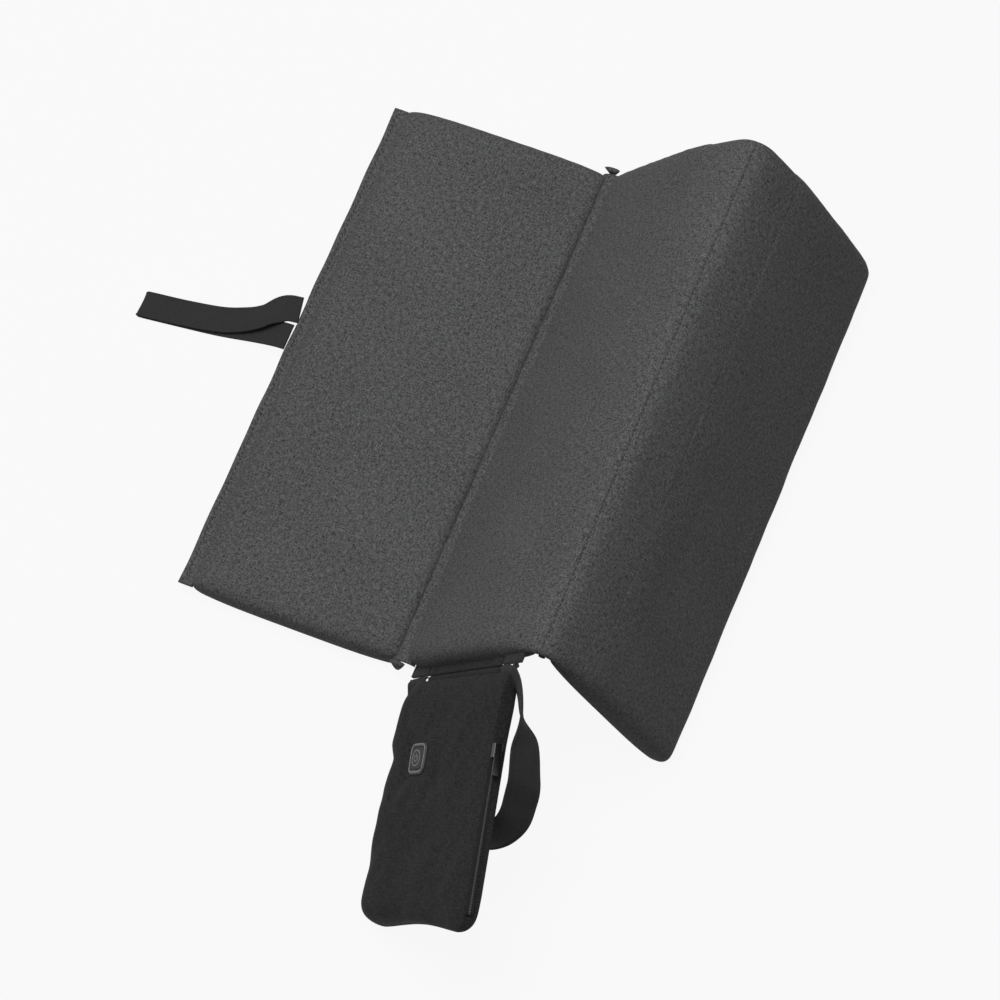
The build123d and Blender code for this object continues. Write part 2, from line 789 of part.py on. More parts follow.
# The switch tray is sewn to the cloth from inside, and holds the board, its switch and its lamps
tray_inner = collar_size + 2 * cloth_gap
tray_outer = tray_inner + 2 * tray_wall
with BuildPart() as switch_tray:
    with BuildSketch(button_plane.offset(-tray_depth)):
        RectangleRounded(tray_outer, tray_outer, frame_radius)
    extrude(amount=tray_depth)
    with BuildSketch(button_plane.offset(tray_wall - tray_depth)):
        RectangleRounded(tray_inner, tray_inner, collar_radius)
    extrude(amount=tray_depth, mode=Mode.SUBTRACT)
    add(pouch_hollow, mode=Mode.INTERSECT)
finish(switch_tray.part, "switch_tray")

board_level = tray_wall - tray_depth
with BuildPart() as switch_board:
    with BuildSketch(button_plane.offset(board_level)):
        Rectangle(tray_inner - 2 * collar_radius, tray_inner - 2 * collar_radius)
    extrude(amount=switch_board_thickness)
    with BuildSketch(button_plane.offset(board_level + switch_board_thickness)):
        Circle(switch_diameter / 2)
    extrude(amount=switch_height)
finish(switch_board.part, "switch_board")

lamp_spread = lamp_spread_share * (tray_inner - 2 * collar_radius)
with BuildPart() as button_lamps:
    with BuildSketch(button_plane.offset(board_level + switch_board_thickness)):
        with GridLocations(2 * lamp_spread, 2 * lamp_spread, 2, 2):
            Rectangle(lamp_size, lamp_size)
    extrude(amount=lamp_height)
finish(button_lamps.part, "button_lamps")


def hang_point(across, down, back):
    """A point by its place from the middle of the seam line: across, outward and behind."""
    return hang_centre + middle_across * across + near * down - middle_up * back


# The carry handle: one length of webbing between the two anchors, passing behind the pouch. It
# leaves the anchors flat and twists until it stands on edge, so that it can turn back. Each stop
# is its place as shares of the anchors' spread, the handle's drop and its depth, then how much
# the strip's width lies across and how much it stands up.
handle_shares = [
    (-1.0, 0.055, 0.0, 1.0, 0.0),
    (-1.03, 0.13, 0.13, 1.0, 0.5),
    (-1.05, 0.26, 0.24, 0.55, 0.85),
    (-1.04, 0.48, 0.43, 0.15, 1.0),
    (-0.99, 0.68, 0.635, 0.3, 1.0),
    (-0.895, 0.79, 0.80, 0.3, 1.0),
    (-0.71, 0.90, 0.92, 0.0, 1.0),
    (-0.39, 0.975, 0.98, 0.0, 1.0),
    (0.0, 1.0, 1.0, 0.0, 1.0),
    (0.39, 0.975, 0.98, 0.0, 1.0),
    (0.71, 0.90, 0.92, 0.0, 1.0),
    (0.905, 0.80, 0.815, -0.15, 1.0),
    (1.03, 0.68, 0.65, -0.2, 1.0),
    (1.10, 0.48, 0.43, -0.3, 1.0),
    (1.12, 0.305, 0.245, -1.0, 0.6),
    (1.07, 0.14, 0.13, -1.0, 0.45),
    (1.0, 0.055, 0.0, -1.0, 0.0),
]
handle_stops = [
    (
        hang_point(across * anchor_centre, down * handle_drop, back * handle_depth),
        middle_across * lying - middle_up * standing,
    )
    for across, down, back, lying, standing in handle_shares
]
handle_start = (hang_point(-anchor_centre, neck_start, 0), middle_across)
handle_stop = (hang_point(anchor_centre, neck_start, 0), middle_across * -1)
handle_route = [handle_start, *handle_stops, handle_stop]
finish(ribbon(handle_route, handle_width, handle_thickness), "carry_handle")

# The closing loop: elastic webbing folded at its tip, lying on the floor beside the left panel.
# Each stop is its reach, its place along the hem from the nearer root and its level, as shares of
# the loop's reach, the roots' spread and the hem's level, then how far the strip leans.
hem_edge = left_frame.from_local_coords((-hem_width, 0, 0))
root_spread = loop_root_far - loop_root_near
loop_shares = [
    (0.065, 0.0, 1.0, 0.0),
    (0.33, -0.33, 0.48, 0.2),
    (0.61, -0.63, 0.15, 0.2),
    (0.91, -0.97, 0.095, 0.2),
    (0.98, -1.04, 0.125, 0.2),
    (1.0, -1.06, 0.23, 0.2),
    (0.98, -1.04, 0.335, 0.2),
    (0.91, -0.97, 0.37, 0.2),
    (0.67, -0.67, 0.46, 0.2),
    (0.50, -0.28, 0.84, 0.2),
    (0.33, 0.30, 1.07, 0.2),
    (0.20, 0.70, 1.09, 0.2),
    (0.065, 1.0, 1.0, 0.0),
]


def loop_stop(out, along, level, lean):
    """A stop of the closing loop: where its centre lies, and the direction of its width."""
    place = (hem_edge.X - out, loop_root_near + along * root_spread, level * cover_seam)
    return Vector(place), Vector(-lean, 1, 0)


loop_route = [loop_stop(loop_start, 0.0, 1.0, 0.0)]
loop_route += [loop_stop(out * loop_reach, *rest) for out, *rest in loop_shares]
loop_route += [loop_stop(loop_start, 1.0, 1.0, 0.0)]
finish(ribbon(loop_route, loop_width, loop_thickness), "closing_loop")
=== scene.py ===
import bmesh
import bpy
import numpy as np
from mathutils import Matrix


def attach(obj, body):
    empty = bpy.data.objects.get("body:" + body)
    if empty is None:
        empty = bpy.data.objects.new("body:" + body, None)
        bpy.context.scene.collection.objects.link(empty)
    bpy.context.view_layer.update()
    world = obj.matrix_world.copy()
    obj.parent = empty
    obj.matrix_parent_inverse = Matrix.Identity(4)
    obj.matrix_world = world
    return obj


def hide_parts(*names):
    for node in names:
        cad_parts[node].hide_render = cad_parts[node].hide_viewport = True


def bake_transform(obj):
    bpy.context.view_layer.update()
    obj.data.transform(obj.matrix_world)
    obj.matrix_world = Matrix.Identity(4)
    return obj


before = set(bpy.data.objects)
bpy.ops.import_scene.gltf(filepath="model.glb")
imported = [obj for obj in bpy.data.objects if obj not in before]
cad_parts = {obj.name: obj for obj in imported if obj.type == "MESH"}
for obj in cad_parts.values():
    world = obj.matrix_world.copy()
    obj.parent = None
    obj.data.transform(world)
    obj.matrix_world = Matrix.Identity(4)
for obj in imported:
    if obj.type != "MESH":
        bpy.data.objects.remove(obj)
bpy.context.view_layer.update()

mm = 0.001

# The camera stands high over the near side and looks down along the folds, through a long
# lens, as the product was photographed.
camera_place = (0.5697, -0.8032, 2.2895)
camera_right = (0.92261841, 0.37895788, -0.07184965)
camera_up = (-0.33058216, 0.87288674, 0.35886684)
camera_back = (0.19871352, -0.30733797, 0.93061854)
lens_length = 149.25
sensor_width = 36.0
view_reach = 20.0

scene = bpy.context.scene
scene.view_settings.view_transform = "Standard"


def collect(name, data):
    """Puts an object into the scene at the origin."""
    thing = bpy.data.objects.new(name, data)
    scene.collection.objects.link(thing)
    return thing


def stand(thing, right, up, back, place):
    """Places a camera or lamp: the directions of its own X, Y and Z axes, and its origin."""
    thing.matrix_world = Matrix([[right[axis], up[axis], back[axis], place[axis]]
                                 for axis in range(3)] + [[0.0, 0.0, 0.0, 1.0]])


camera = collect("camera", bpy.data.cameras.new("camera"))
camera.data.lens = lens_length
camera.data.sensor_width = sensor_width
camera.data.clip_end = view_reach
stand(camera, camera_right, camera_up, camera_back, camera_place)
scene.camera = camera


# The studio: a grey floor, a broad soft box overhead a little to the left, and a dim even room
# around. The camera sees the room white and the floor nearly so, with a faint shadow on it.
white = (1.0, 1.0, 1.0, 1.0)
floor_half = 4.0
floor_level = -0.0004
floor_tone = (0.45, 0.45, 0.45, 1.0)
floor_glow = 0.92
room_light = 0.08
box_place = (-0.16, 0.10, 2.0)
box_target = (0.06, 0.0, 0.03)
box_size = 1.2
box_power = 31.0


def node(tree, kind, sockets=None, **settings):
    """Adds a node, sets its options, and sets or links its inputs by name or number."""
    new = tree.nodes.new(kind)
    for name, value in settings.items():
        setattr(new, name, value)
    for name, value in (sockets or {}).items():
        if isinstance(value, bpy.types.NodeSocket):
            tree.links.new(value, new.inputs[name])
        else:
            new.inputs[name].default_value = value
    return new


def empty_tree(owner):
    """Clears the owner's nodes and returns its tree."""
    owner.use_nodes = True
    owner.node_tree.nodes.clear()
    return owner.node_tree


def seen_or_mirrored(tree):
    """One where a camera, glossy or transmission ray arrives, and nothing for other rays."""
    path = node(tree, "ShaderNodeLightPath")
    one = node(tree, "ShaderNodeMath", {0: path.outputs["Is Camera Ray"],
                                        1: path.outputs["Is Glossy Ray"]}, operation="MAXIMUM")
    return node(tree, "ShaderNodeMath", {0: one.outputs[0],
                                         1: path.outputs["Is Transmission Ray"]},
                operation="MAXIMUM").outputs[0]


tree = empty_tree(bpy.data.materials.new("studio_floor"))
shadow_catcher = node(tree, "ShaderNodeBsdfDiffuse", {"Color": floor_tone})
glow = node(tree, "ShaderNodeEmission", {"Color": white, "Strength": 1.0})
share = node(tree, "ShaderNodeMath", {0: seen_or_mirrored(tree), 1: floor_glow},
             operation="MULTIPLY")
blend = node(tree, "ShaderNodeMixShader", {0: share.outputs[0], 1: shadow_catcher.outputs[0],
                                           2: glow.outputs[0]})
node(tree, "ShaderNodeOutputMaterial", {"Surface": blend.outputs[0]})
floor_mesh = bpy.data.meshes.new("floor")
corners = np.array([[-1, -1, 0], [1, -1, 0], [1, 1, 0], [-1, 1, 0]]) * floor_half
corners[:, 2] = floor_level
floor_mesh.from_pydata(corners.tolist(), [], [(0, 1, 2, 3)])
floor_mesh.materials.append(bpy.data.materials["studio_floor"])
collect("floor", floor_mesh)

world = bpy.data.worlds.new("room")
scene.world = world
tree = empty_tree(world)
lit = node(tree, "ShaderNodeBackground", {"Color": white, "Strength": room_light})
seen = node(tree, "ShaderNodeBackground", {"Color": white, "Strength": 1.0})
room = node(tree, "ShaderNodeMixShader", {0: seen_or_mirrored(tree), 1: lit.outputs[0],
                                          2: seen.outputs[0]})
node(tree, "ShaderNodeOutputWorld", {"Surface": room.outputs[0]})

soft_box = collect("soft_box", bpy.data.lights.new("soft_box", "AREA"))
soft_box.data.shape = "SQUARE"
soft_box.data.size = box_size
soft_box.data.energy = box_power
aim = np.array(box_target) - np.array(box_place)
aim /= np.linalg.norm(aim)
side = np.cross(aim, [0, 1, 0])
side /= np.linalg.norm(side)
stand(soft_box, side, np.cross(side, aim), -aim, box_place)


# The left pad: a foam slab in a cover of heathered charcoal canvas, cut as two panels and
# sewn together all round. Its left edge runs out into a flat hem, and its right edge rolls
# into the valley fold.
pad_half = 168.0
pad_height = 22.0
pad_clearance = 0.12
crown = 1.1
cover_seam = 9.5
end_round = 13.0
end_power = 3.0
corner_round = 4.5
bottom_round = 6.0
bottom_power = 2.0
bow_depth = 0.012
bow_start = 120.0
bow_run = 48.0
left_origin = np.array([-67.5, 0.0, 0.0])
left_across = np.array([1.0, 0.0, 0.0])
left_up = np.array([0.0, 0.0, 1.0])
left_width = 134.5
outer_run = 20.0
outer_power = 2.3
valley_run = 8.0
valley_power = 2.5

# The cover's slackness: broad swells and small ones all over, and gathers near the end seams.
swell_height = 0.34
swell_size = 46.0
small_swell_height = 0.10
small_swell_size = 17.0
end_gather = 0.28
end_gather_size = 11.0
end_gather_stretch = 0.25
end_gather_fade = 13.0

# How far apart the points of a pad lie, and how many go round its ends and its sides.
pad_step = 2.4
bottom_coarser = 1.6
end_points = 13
side_points = 9
weld_distance = 0.01

# The canvas: its tone, how strongly its yarns differ, and the width of a thread. A pace is the
# noise's spots in a millimetre, for threads one millimetre wide. The wave texture's own bands
# lie a wave period apart at a scale of one.
canvas_tone = 0.095
canvas_fleck = 0.62
canvas_thread = 0.95
cool_cast = (1.0, 1.005, 1.02)
pace_across_yarn = 1.1
pace_along_yarn = 0.26
grain_pace = 0.9
patch_pace = (0.016, 0.021)
patch_gain = 0.22
grain_share = 1.6
fleck_gain = 2.6
least_gain = 0.30
most_gain = 2.2
wave_period = 0.31416
weave_strength = 0.55
canvas_roughness = 0.88
canvas_specular = 0.22


def canvas(name, tone, fleck, thread, grain=1.0, streak=1.0, sheen=0.02, lift=0.12):
    """A woven cloth of mixed yarns, on the piece's own cut lengths in millimetres.

    The colour is the tone times one plus the fleck times a mix of streaks along the warp,
    streaks along the weft and fine grain. The threads are two crossed waves.
    """
    material = bpy.data.materials.new(name)
    tree = empty_tree(material)
    cut = node(tree, "ShaderNodeUVMap", uv_map="cut").outputs[0]

    def noise(pace, detail=2.0, roughness=0.6):
        scaled = node(tree, "ShaderNodeVectorMath", {0: cut, 1: (*pace, 1.0)},
                      operation="MULTIPLY").outputs[0]
        return node(tree, "ShaderNodeTexNoise", {"Vector": scaled, "Scale": 1.0,
                                                 "Detail": detail, "Roughness": roughness},
                    noise_dimensions="2D").outputs["Fac"]

    def combine(one, other, operation="ADD"):
        return node(tree, "ShaderNodeMath", {0: one, 1: other}, operation=operation).outputs[0]

    def bands(direction):
        return node(tree, "ShaderNodeTexWave", {"Vector": cut, "Scale": wave_period / thread,
                                                "Distortion": 0.6, "Detail": 1.0},
                    bands_direction=direction).outputs["Fac"]

    warp = noise((pace_across_yarn / thread, pace_along_yarn / thread))
    weft = noise((pace_along_yarn / thread, pace_across_yarn / thread))
    fine = noise((grain_pace / thread, grain_pace / thread), 3.0, 0.75)
    broad = noise(patch_pace, 2.0, 0.5)
    yarns = combine(combine(combine(warp, weft), streak, "MULTIPLY"),
                    combine(fine, grain * grain_share, "MULTIPLY"))
    middle = streak + grain * grain_share / 2
    spread = combine(combine(yarns, middle, "SUBTRACT"), fleck * fleck_gain, "MULTIPLY")
    patchy = combine(combine(broad, 0.5, "SUBTRACT"), patch_gain, "MULTIPLY")
    gain = combine(combine(spread, patchy), 1.0)
    gain = node(tree, "ShaderNodeClamp", {0: gain, 1: least_gain, 2: most_gain}).outputs[0]
    colour = node(tree, "ShaderNodeCombineColor", {
        channel: combine(gain, tone * cast, "MULTIPLY")
        for channel, cast in enumerate(cool_cast)})
    weave = combine(combine(bands("X"), bands("Y"), "MULTIPLY"), combine(yarns, 0.8, "MULTIPLY"))
    bump = node(tree, "ShaderNodeBump", {"Strength": weave_strength, "Distance": lift * mm,
                                         "Height": weave})
    shader = node(tree, "ShaderNodeBsdfPrincipled", {
        "Base Color": colour.outputs[0], "Roughness": canvas_roughness,
        "Specular IOR Level": canvas_specular, "Sheen Weight": sheen,
        "Sheen Roughness": 0.45, "Normal": bump.outputs[0]})
    node(tree, "ShaderNodeOutputMaterial", {"Surface": shader.outputs[0]})
    return material


def make_piece(name, points, faces, material, cut=None, weld=False):
    """A mesh from points in millimetres and faces, which are turned to point outwards; cut
    gives each face corner its cloth place."""
    mesh = bpy.data.meshes.new(name)
    mesh.from_pydata((np.asarray(points) * mm).tolist(), [], [tuple(face) for face in faces])
    if cut is not None:
        layer = mesh.uv_layers.new(name="cut")
        layer.data.foreach_set("uv", np.asarray(cut, dtype=np.float32).ravel())
    mesh.materials.append(material)
    work = bmesh.new()
    work.from_mesh(mesh)
    if weld:
        bmesh.ops.remove_doubles(work, verts=work.verts, dist=weld_distance * mm)
    bmesh.ops.recalc_face_normals(work, faces=work.faces)
    work.to_mesh(mesh)
    work.free()
    mesh.polygons.foreach_set("use_smooth", np.ones(len(mesh.polygons), dtype=bool))
    mesh.update()
    return collect(name, mesh)


def face_corners(grid):
    """What a grid holds at the four corners of each of its faces, in order round the face."""
    return np.stack([grid[:-1, :-1], grid[:-1, 1:], grid[1:, 1:], grid[1:, :-1]], 2)


def ring_faces(rows, columns):
    """The four-cornered faces of a grid of points whose every row is a closed ring."""
    index = np.arange(rows * columns).reshape(rows, columns)
    return face_corners(np.concatenate([index, index[:, :1]], 1)).reshape(-1, 4)


def lengths(points):
    """The distance from the first point along a line of points, to each point."""
    steps = np.linalg.norm(np.diff(points, axis=0), axis=1)
    return np.concatenate([[0.0], np.cumsum(steps)])


def ring_cut(grid):
    """The cloth place of each face corner: lengths round the middle ring, and along the line
    through the rings a quarter of the way round."""
    middle = grid[len(grid) // 2]
    u = lengths(np.concatenate([middle, middle[:1]]))
    v = lengths(grid[:, grid.shape[1] // 4])
    return face_corners(np.stack(np.meshgrid(u, v), -1)).reshape(-1, 2)


def shell(name, grid, material, capped=False, weld=True):
    """A piece from rings of points (rows, columns, 3); the cloth's threads follow the rings."""
    rows, columns = grid.shape[:2]
    faces = ring_faces(rows, columns).tolist()
    cut = ring_cut(grid)
    if capped:
        faces += [list(range(columns))[::-1],
                  list(range((rows - 1) * columns, rows * columns))]
        cut = np.concatenate([cut, grid[0, ::-1, 1:], grid[-1, :, 1:]])
    return make_piece(name, grid.reshape(-1, 3), faces, material, cut, weld)


def ramp(distance, run):
    """From nothing at the edge to one past the run, in a straight line."""
    return np.clip(distance / run, 0.0, 1.0)


def rounded(distance, run, power):
    """From nothing at the edge to one past the run: a quarter of a superellipse."""
    return (1.0 - (1.0 - ramp(distance, run)) ** power) ** (1.0 / power)


def ripples(across, along, size, seed):
    """Soft uneven swells between about minus one and one: a sum of nine waves, each in a
    random direction and with a length somewhat under or over the size."""
    chance = np.random.default_rng(seed)
    waves = 9
    total = np.zeros(np.broadcast(across, along).shape)
    for _ in range(waves):
        heading, phase = chance.uniform(0, 2 * np.pi, 2)
        pace = 2 * np.pi / (size * chance.uniform(0.7, 1.6))
        total += np.sin(pace * (across * np.cos(heading) + along * np.sin(heading)) + phase)
    return total / np.sqrt(waves)


def pad_rows():
    """Places along a pad: close together over its rounded ends, even between them."""
    turn = np.linspace(0, np.pi / 2, end_points)
    end = (pad_half - end_round * (1 - np.sin(turn)))[::-1]
    even = np.linspace(-end[-1], end[-1], int(2 * end[-1] / pad_step))
    return np.concatenate([-end, even[1:-1], end[::-1]])


def side_spacing(width, step, ends):
    """Places across a pad: close together over its rounded sides, even between them."""
    turn = np.linspace(0, np.pi / 2, side_points)
    left = ends[0] * (1 - np.cos(turn))
    right = width - ends[1] * (1 - np.cos(turn))
    even = np.linspace(left[-1], right[-1], int((right[-1] - left[-1]) / step))
    return np.concatenate([left, even[1:-1], right[::-1]])


def pad_top(x, width, runs, powers):
    """The level of a pad's top: the seam's at its two sides, rising round to a slight crown."""
    rise = rounded(x, runs[0], powers[0]) * rounded(width - x, runs[1], powers[1])
    middle = 1.0 - ((x - width / 2) / (width / 2)) ** 2
    return cover_seam + (pad_height - crown - cover_seam) * rise + crown * middle * rise


def bow_in(place):
    """The share by which a pad's end seam falls short at its sides, growing towards the end."""
    return bow_depth * ramp(place - bow_start, bow_run)


def pad_grid(origin, across, up, width, top, runs, seed):
    """A closed pad: rings over the top and back under the bottom, row after row along it.

    Towards each end the rings flatten to the seam as a superellipse, and the sides draw in
    round the corners as quarter circles. The top swells and gathers a little.
    """
    x_top = side_spacing(width, pad_step, runs)
    x_low = side_spacing(width, pad_step * bottom_coarser, (bottom_round, bottom_round))
    x_low = x_low[::-1][1:-1]
    low = cover_seam - (cover_seam * rounded(x_low, bottom_round, bottom_power)
                        * rounded(width - x_low, bottom_round, bottom_power))
    along = pad_rows()[:, None]
    place = np.abs(along)
    full = rounded(pad_half - place, end_round, end_power)
    corner = np.clip(place - (pad_half - corner_round), 0.0, corner_round)
    draw = corner_round - np.sqrt(corner_round ** 2 - corner ** 2)
    x = np.concatenate([x_top, x_low])[None, :]
    level = np.concatenate([top(x_top), low])[None, :]
    upper = np.concatenate([np.ones_like(x_top), np.zeros_like(x_low)])[None, :]
    swell = (swell_height * ripples(x, along, swell_size, seed)
             + small_swell_height * ripples(x, along, small_swell_size, seed + 1))
    near_end = np.exp(-(pad_half - place) / end_gather_fade)
    swell = swell + end_gather * near_end * ripples(x, along * end_gather_stretch,
                                                    end_gather_size, seed + 2)
    firm = ramp(level - cover_seam, pad_height - cover_seam) * upper
    level = cover_seam + full * (level - cover_seam + swell * firm)
    level = np.minimum(level, pad_height + pad_clearance)
    bow = 1.0 - bow_in(place) * ((x - width / 2) / (width / 2)) ** 4
    x = width / 2 + (x - width / 2) * (1.0 - draw / (width / 2))
    x, level, along = np.broadcast_arrays(x, level, along * bow)
    return (origin + x[..., None] * across + level[..., None] * up
            + along[..., None] * np.array([0.0, 1.0, 0.0]))


def left_top(x):
    """The left pad's top: a long run out to the hem and a short one down to the valley."""
    return pad_top(x, left_width, (outer_run, valley_run), (outer_power, valley_power))


pad_cloth = canvas("heathered_canvas", canvas_tone, canvas_fleck, canvas_thread)
left_grid = pad_grid(left_origin, left_across, left_up, left_width, left_top,
                     (outer_run, valley_run), seed=11)
left_pad = shell("left_pad", left_grid, pad_cloth)
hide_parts("left_top_cover", "left_bottom_cover")
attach(left_pad, "left_panel")


# The middle and right pads: the same canvas over foam. Their tops run up to the ridge, where
# one stitched seam joins the covers, so the top line is worked out once across both.
middle_pitch = np.radians(55.0)
middle_across = np.array([np.cos(middle_pitch), 0.0, np.sin(middle_pitch)])
middle_up = np.array([-np.sin(middle_pitch), 0.0, np.cos(middle_pitch)])
middle_origin = np.array([85.76711, 0.0, 9.50905])
middle_width = 134.5
ridge_axis = np.array([163.4457, 0.0, 119.9227])
right_fall = np.radians(64.376)
right_across = np.array([np.cos(right_fall), 0.0, -np.sin(right_fall)])
right_up = np.array([np.sin(right_fall), 0.0, np.cos(right_fall)])
ridge_gap = 0.3
right_origin = ridge_axis + ridge_gap * right_up
pad_inset = 0.5
valley_reach = 50.0
outer_start = 70.0
right_round_run = 40.0
edge_margin = 0.01
ridge_run = 3.0
ridge_edge_run = 1.2
ridge_edge_power = 2.0

# The line over the ridge: each top is flat, falls along a slope and meets the arc.
ridge_side = 135.0
ridge_radius = 15.2
ridge_turn = middle_pitch + right_fall
crown_start = 60.0
slope_start = 99.0
slope_end = 133.0
slope_height = 21.3
slope_fall = 5.2
slope_power = 1.5
line_step = 0.5
bell_spread = 3.6
bell_reach = 30
cloth_reach = 23.0
cloth_step = 1.3


def at_places(places, along, points):
    """Points on a line of points at the given distances along it."""
    return np.stack([np.interp(places, along, points[:, axis]) for axis in range(3)], 1)


def top_line():
    """The tops of both pads and the ridge as one line of points, half a millimetre apart.

    It is the middle pad's top, an arc about the ridge axis and the right pad's top, smoothed
    by an average weighted with a bell curve, which takes the corners off between them.
    """
    flat = np.arange(0.0, slope_start, 1.0)
    level = pad_height - crown * ((flat - crown_start) / crown_start) ** 2 * (flat > crown_start)
    down = np.linspace(slope_start, slope_end, 18)
    slope = slope_height - slope_fall * ((down - slope_start)
                                         / (slope_end - slope_start)) ** slope_power
    rise = np.stack([np.concatenate([flat, down]), np.concatenate([level, slope])], 1)
    left = middle_origin + rise[:, :1] * middle_across + rise[:, 1:] * middle_up
    fall = rise[::-1]
    right = right_origin + (ridge_side - fall[:, :1]) * right_across + fall[:, 1:] * right_up
    angle = (np.linspace(0.0, 1.0, 40) * ridge_turn)[:, None]
    round_top = ridge_axis + ridge_radius * (np.cos(angle) * middle_up
                                             + np.sin(angle) * middle_across)
    line = np.concatenate([left, round_top, right])
    place = lengths(line)
    line = at_places(np.arange(0.0, place[-1], line_step), place, line)
    steps = np.arange(-bell_reach, bell_reach + 1)
    bell = np.exp(-0.5 * (steps * line_step / bell_spread) ** 2)
    bell /= bell.sum()
    longer = np.concatenate([np.repeat(line[:1], bell_reach, 0), line,
                             np.repeat(line[-1:], bell_reach, 0)])
    return np.stack([np.convolve(longer[:, axis], bell, "valid") for axis in range(3)], 1)


ridge_line = top_line()
in_middle = np.stack([(ridge_line - middle_origin) @ middle_across,
                      (ridge_line - middle_origin) @ middle_up], 1)
in_right = np.stack([(ridge_line - right_origin) @ right_across,
                     (ridge_line - right_origin) @ right_up], 1)
highest = int(np.argmax(ridge_line[:, 2]))
middle_start = int(np.argmin(np.abs(in_middle[:highest, 0] - (ridge_side - cloth_reach))))
right_start = highest + int(np.argmin(np.abs(in_right[highest:, 0] - cloth_reach)))
middle_edge = in_middle[middle_start, 0]
right_edge = in_right[right_start, 0]


def middle_top(x):
    """The middle pad's top: up from the valley, along the top line, and a step below it under
    the ridge cloth."""
    local = x + pad_inset
    valley = pad_top(x, middle_width * 4, (valley_run, 5.0), (valley_power, 2.0))
    valley = cover_seam + ((valley - cover_seam) / (valley.max() - cover_seam)
                           * (pad_height - cover_seam))
    line = in_middle[:int(np.argmax(in_middle[:, 0])) + 1]
    under_cloth = local > middle_edge + edge_margin
    ridge = np.interp(local, line[:, 0], line[:, 1]) - cloth_step * under_cloth
    level = np.where(local < valley_reach, np.minimum(valley, ridge), ridge)
    return cover_seam + (level - cover_seam) * rounded(middle_width - x, ridge_edge_run,
                                                       ridge_edge_power)


def right_top(x):
    """The right pad's top: a step below the top line under the ridge cloth, then along the
    line, and down to the outer edge."""
    local = x + pad_inset
    outer = pad_top(x, left_width, (right_round_run, outer_run), (2.0, outer_power))
    line = in_right[int(np.argmin(in_right[:, 0])):]
    under_cloth = local < right_edge - edge_margin
    ridge = np.interp(local, line[:, 0], line[:, 1]) - cloth_step * under_cloth
    level = np.where(local > outer_start, np.minimum(outer, ridge), ridge)
    return cover_seam + (level - cover_seam) * rounded(x, ridge_edge_run, ridge_edge_power)


middle_grid = pad_grid(middle_origin + pad_inset * middle_across, middle_across, middle_up,
                       middle_width, middle_top, (valley_run, ridge_run), seed=23)
middle_pad = shell("middle_pad", middle_grid, pad_cloth)
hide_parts("middle_top_cover", "middle_bottom_cover")
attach(middle_pad, "middle_panel")

right_grid = pad_grid(right_origin + pad_inset * right_across, right_across, right_up,
                      left_width, right_top, (ridge_run, outer_run), seed=37)
right_pad = shell("right_pad", right_grid, pad_cloth)
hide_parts("right_top_cover", "right_bottom_cover")
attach(right_pad, "right_panel")


# The ridge: the two covers meet in one seam along the crest, turned in and stitched, so the
# canvas runs over in a soft round with a fine line of thread down its middle.
ridge_wall = 1.0
groove_depth = 0.75
groove_half = 0.7
gather_height = 0.20
gather_fade = 6.0
gather_size = 8.5
gather_stretch = 0.3
slack_height = 0.3
slack_size = 38.0
slack_run = 16.0
most_lift = 0.1
tuck_steps = 4
tuck_depth = 0.5
fine_steps = 8
coarse_step = 4
bow_at_ridge = 0.55
stitched_half = 163.5
stitch_pitch = 3.3
stitch_length = 2.2
stitch_sink = 0.5
thread_radius = 0.26
thread_proud = 0.12
thread_tone = 0.030
thread_sides = 6
thread_rows = 6
moulded_specular = 0.4
moulded_lift = 0.04


def unit(vectors):
    """Each row of vectors at a length of one."""
    return vectors / np.linalg.norm(vectors, axis=1)[:, None]


def hill(distance, spread):
    """One in the middle and nothing far off: e to the minus square of distance over spread."""
    return np.exp(-(distance / spread) ** 2)


def ridge_feet(points, on_right):
    """The seam-level point under each point of the top line, in the two pads and round between."""
    offset = points - ridge_axis
    over_middle = offset @ middle_across
    over_right = offset @ right_across
    lift = cover_seam + ridge_gap
    flat_middle = over_middle[:, None] * middle_across + lift * middle_up
    flat_right = over_right[:, None] * right_across + lift * right_up
    feet = np.where(((over_middle < 0) & ~on_right)[:, None], flat_middle,
                    np.where(((over_right > 0) & on_right)[:, None], flat_right,
                             unit(offset) * lift))
    return ridge_axis + feet


# The cloth's points across the ridge are the top line's own, every one near the crest and every
# fourth further off, with an edge tucked under each pad's cover.
crest = (middle_start + right_start) // 2
steps = np.unique(np.concatenate([
    [middle_start - tuck_steps],
    np.arange(middle_start, crest - fine_steps, coarse_step),
    np.arange(crest - fine_steps, crest + fine_steps + 1),
    np.arange(crest + fine_steps + 1, right_start, coarse_step),
    [right_start, right_start + tuck_steps]]))
crest_line = ridge_line[steps]
across_crest = (steps - crest) * line_step
feet = ridge_feet(crest_line, steps > crest)
outward = unit(crest_line - feet)
rows = pad_rows()
place = np.abs(rows)[:, None]
full = rounded(pad_half - place, end_round, end_power)
groove = groove_depth * hill(across_crest, groove_half)[None, :]
gather = gather_height * np.exp(-np.abs(across_crest) / gather_fade)[None, :] * ripples(
    across_crest[None, :] * gather_stretch, rows[:, None], gather_size, 51)
inside_edges = ramp(np.minimum(steps - middle_start, right_start - steps), slack_run)
slack = slack_height * ripples(across_crest[None, :], rows[:, None], slack_size,
                               52) * inside_edges[None, :]
tucked = (steps < middle_start) | (steps > right_start)
lift = np.minimum(gather + slack, most_lift) - groove - tuck_depth * tucked
high = np.linalg.norm(crest_line - feet, axis=1)[None, :] * full + lift * full
over = feet[None] + outward[None] * high[..., None]
under = feet[None] + outward[None] * np.maximum(high - ridge_wall, 0.0)[..., None]
ridge_rows = np.concatenate([over, under[:, ::-1]], 1)
